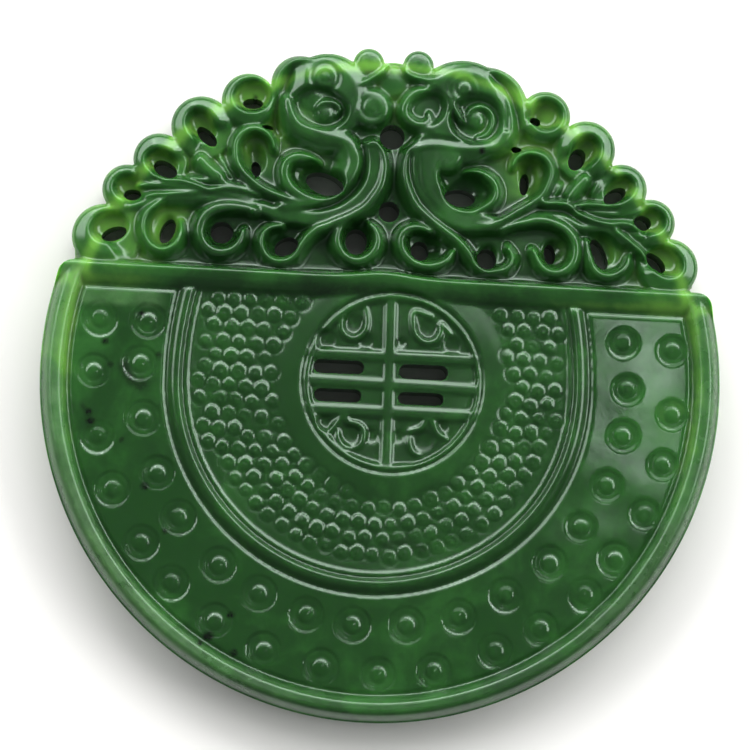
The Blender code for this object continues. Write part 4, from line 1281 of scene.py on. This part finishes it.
# The inclusions, and the strip of painted shade along the straight cut, darken to near black
ragged = combine("MULTIPLY", attribute("inclusions_and_shade"), spread(grit, 0.25, 0.6, 0.55, 1.0))
colour = mix_colour(ragged, colour, INCLUSION_AND_SHADE)
links.new(colour, shader.inputs["Base Color"])

# %% [markdown]
# ## The polish
#
# Jade is hard and takes a high polish, but a wheel held by hand leaves it a little uneven, so the
# roughness wanders. The open panel could be polished best. The scuffs are rough, and a very faint
# bump keeps the reflections from being those of plastic.

# %% Polish of the jade
unevenness = noise(scale=240, detail=3, roughness=0.6)
polish = spread(unevenness, 0.3, 0.75, 0.17, 0.25)
polish = combine("MULTIPLY", polish, spread(attribute("high polish"), 0.0, 1.0, 1.0, 0.52))
links.new(combine("ADD", polish, combine("MULTIPLY", scuffs, 0.22)), shader.inputs["Roughness"])
bump = nodes.new("ShaderNodeBump")
bump.inputs["Strength"].default_value = 0.12
bump.inputs["Distance"].default_value = 0.00003
grain = noise(scale=900, detail=2, roughness=0.5)
links.new(combine("ADD", grain, combine("MULTIPLY", scuffs, 2.0)), bump.inputs["Height"])
links.new(bump.outputs["Normal"], shader.inputs["Normal"])
shader.inputs["IOR"].default_value = 1.61
shader.inputs["Specular Tint"].default_value = (0.82, 1.0, 0.88, 1)
shader.inputs["Subsurface Weight"].default_value = 1.0
shader.inputs["Subsurface Radius"].default_value = (0.5, 1.0, 0.3)
shader.inputs["Subsurface Scale"].default_value = 0.0012
thinned.materials.clear()
thinned.materials.append(jade)
print("jade material with", len(nodes), "nodes")

# %% [markdown]
# ## The table
#
# The pendant lies on its back on a pale matt table, whose only work is to show the outline and the
# openings. The table is a hair below the back, so the two faces never share one plane.

# %% Table top
TABLE_GAP = 0.0002
bpy.ops.mesh.primitive_plane_add(size=3, location=(0, 0, -TABLE_GAP))
table = bpy.context.object
table.name = "table_top"
table_finish = bpy.data.materials.new("pale_table")
table_finish.use_nodes = True
table_shader = table_finish.node_tree.nodes["Principled BSDF"]
table_shader.inputs["Base Color"].default_value = (0.86, 0.85, 0.83, 1)
table_shader.inputs["Roughness"].default_value = 0.7
table.data.materials.append(table_finish)

# %% [markdown]
# ## The viewpoint
#
# The camera looks almost straight down from 32 centimetres, a few degrees off upright and a little
# turned, as a hand-held one is. A carving this flat lives by its reflections, so the viewpoint
# matters as much as the lamps.

# %% Camera
CAMERA_DISTANCE = 0.32
CAMERA_ROLL = 2.5
SENSOR = 36
VIEW_WIDTH = 68.2 * MM
camera_data = bpy.data.cameras.new("camera")
camera = bpy.data.objects.new("camera", camera_data)
bpy.context.scene.collection.objects.link(camera)
bpy.context.scene.camera = camera
aim = CENTRE + Vector((-0.57, 0.52, 5.0)) * MM
towards = Vector((-0.03, -0.07, 1)).normalized()
roll = math.radians(CAMERA_ROLL)
up = Vector((-math.sin(roll), math.cos(roll), 0))
right = up.cross(towards).normalized()
up = towards.cross(right)
turn = Matrix((right, up, towards)).transposed().to_4x4()
camera.matrix_world = Matrix.Translation(aim + towards * CAMERA_DISTANCE) @ turn
camera_data.sensor_width = SENSOR
camera_data.lens = SENSOR * CAMERA_DISTANCE / VIEW_WIDTH
print("lens of", round(camera_data.lens), "mm at", CAMERA_DISTANCE, "m")

# %% [markdown]
# ## The lamps
#
# A sloping wall of about 26 degrees mirrors what stands some 36 degrees above the horizon, so the
# bright edges of the curls come from a wide window and two reflectors at that height. The flat panel
# mirrors the zenith, which is dark but for two small skylights: they make the sharp patch on the
# panel's right. A weak room light fills the rest.

# %% Light
bpy.context.scene.view_settings.view_transform = "Standard"
world = bpy.data.worlds.new("room")
bpy.context.scene.world = world
world.use_nodes = True
room = world.node_tree.nodes["Background"]
room.inputs["Color"].default_value = (0.95, 1.0, 0.98, 1)
room.inputs["Strength"].default_value = 0.15


def soft_light(name, bearing, height, distance, size, radiance):
    """A softbox that faces the pendant; bearing and height are its direction in degrees."""
    data = bpy.data.lights.new(name, "AREA")
    data.shape = "RECTANGLE"
    data.size, data.size_y = size
    data.energy = radiance * math.pi * size[0] * size[1]
    lamp = bpy.data.objects.new(name, data)
    turn, rise = math.radians(bearing), math.radians(height)
    level = math.cos(rise)
    lamp.location = distance * Vector((level * math.cos(turn), level * math.sin(turn), math.sin(rise)))
    lamp.rotation_euler = (-lamp.location).to_track_quat("-Z", "Y").to_euler()
    lamp.visible_camera = False
    bpy.context.scene.collection.objects.link(lamp)


# name, bearing, height, distance, size, radiance
LIGHTS = [
    ("window", 75, 37, 1.3, (1.7, 0.6), 6.2),
    ("right reflector", 12, 35, 1.3, (1.0, 0.6), 5.2),
    ("left reflector", 143, 36, 1.3, (1.5, 0.6), 4.8),
    ("ceiling", 82, 60, 1.3, (1.3, 0.5), 1.4),
    ("skylight", 34.6, 81.3, 1.214, (0.03, 0.045), 7.0),
    ("skylight below", 22.8, 81.7, 1.213, (0.045, 0.03), 5.0),
]
for light in LIGHTS:
    soft_light(*light)
print(len(LIGHTS), "lights")
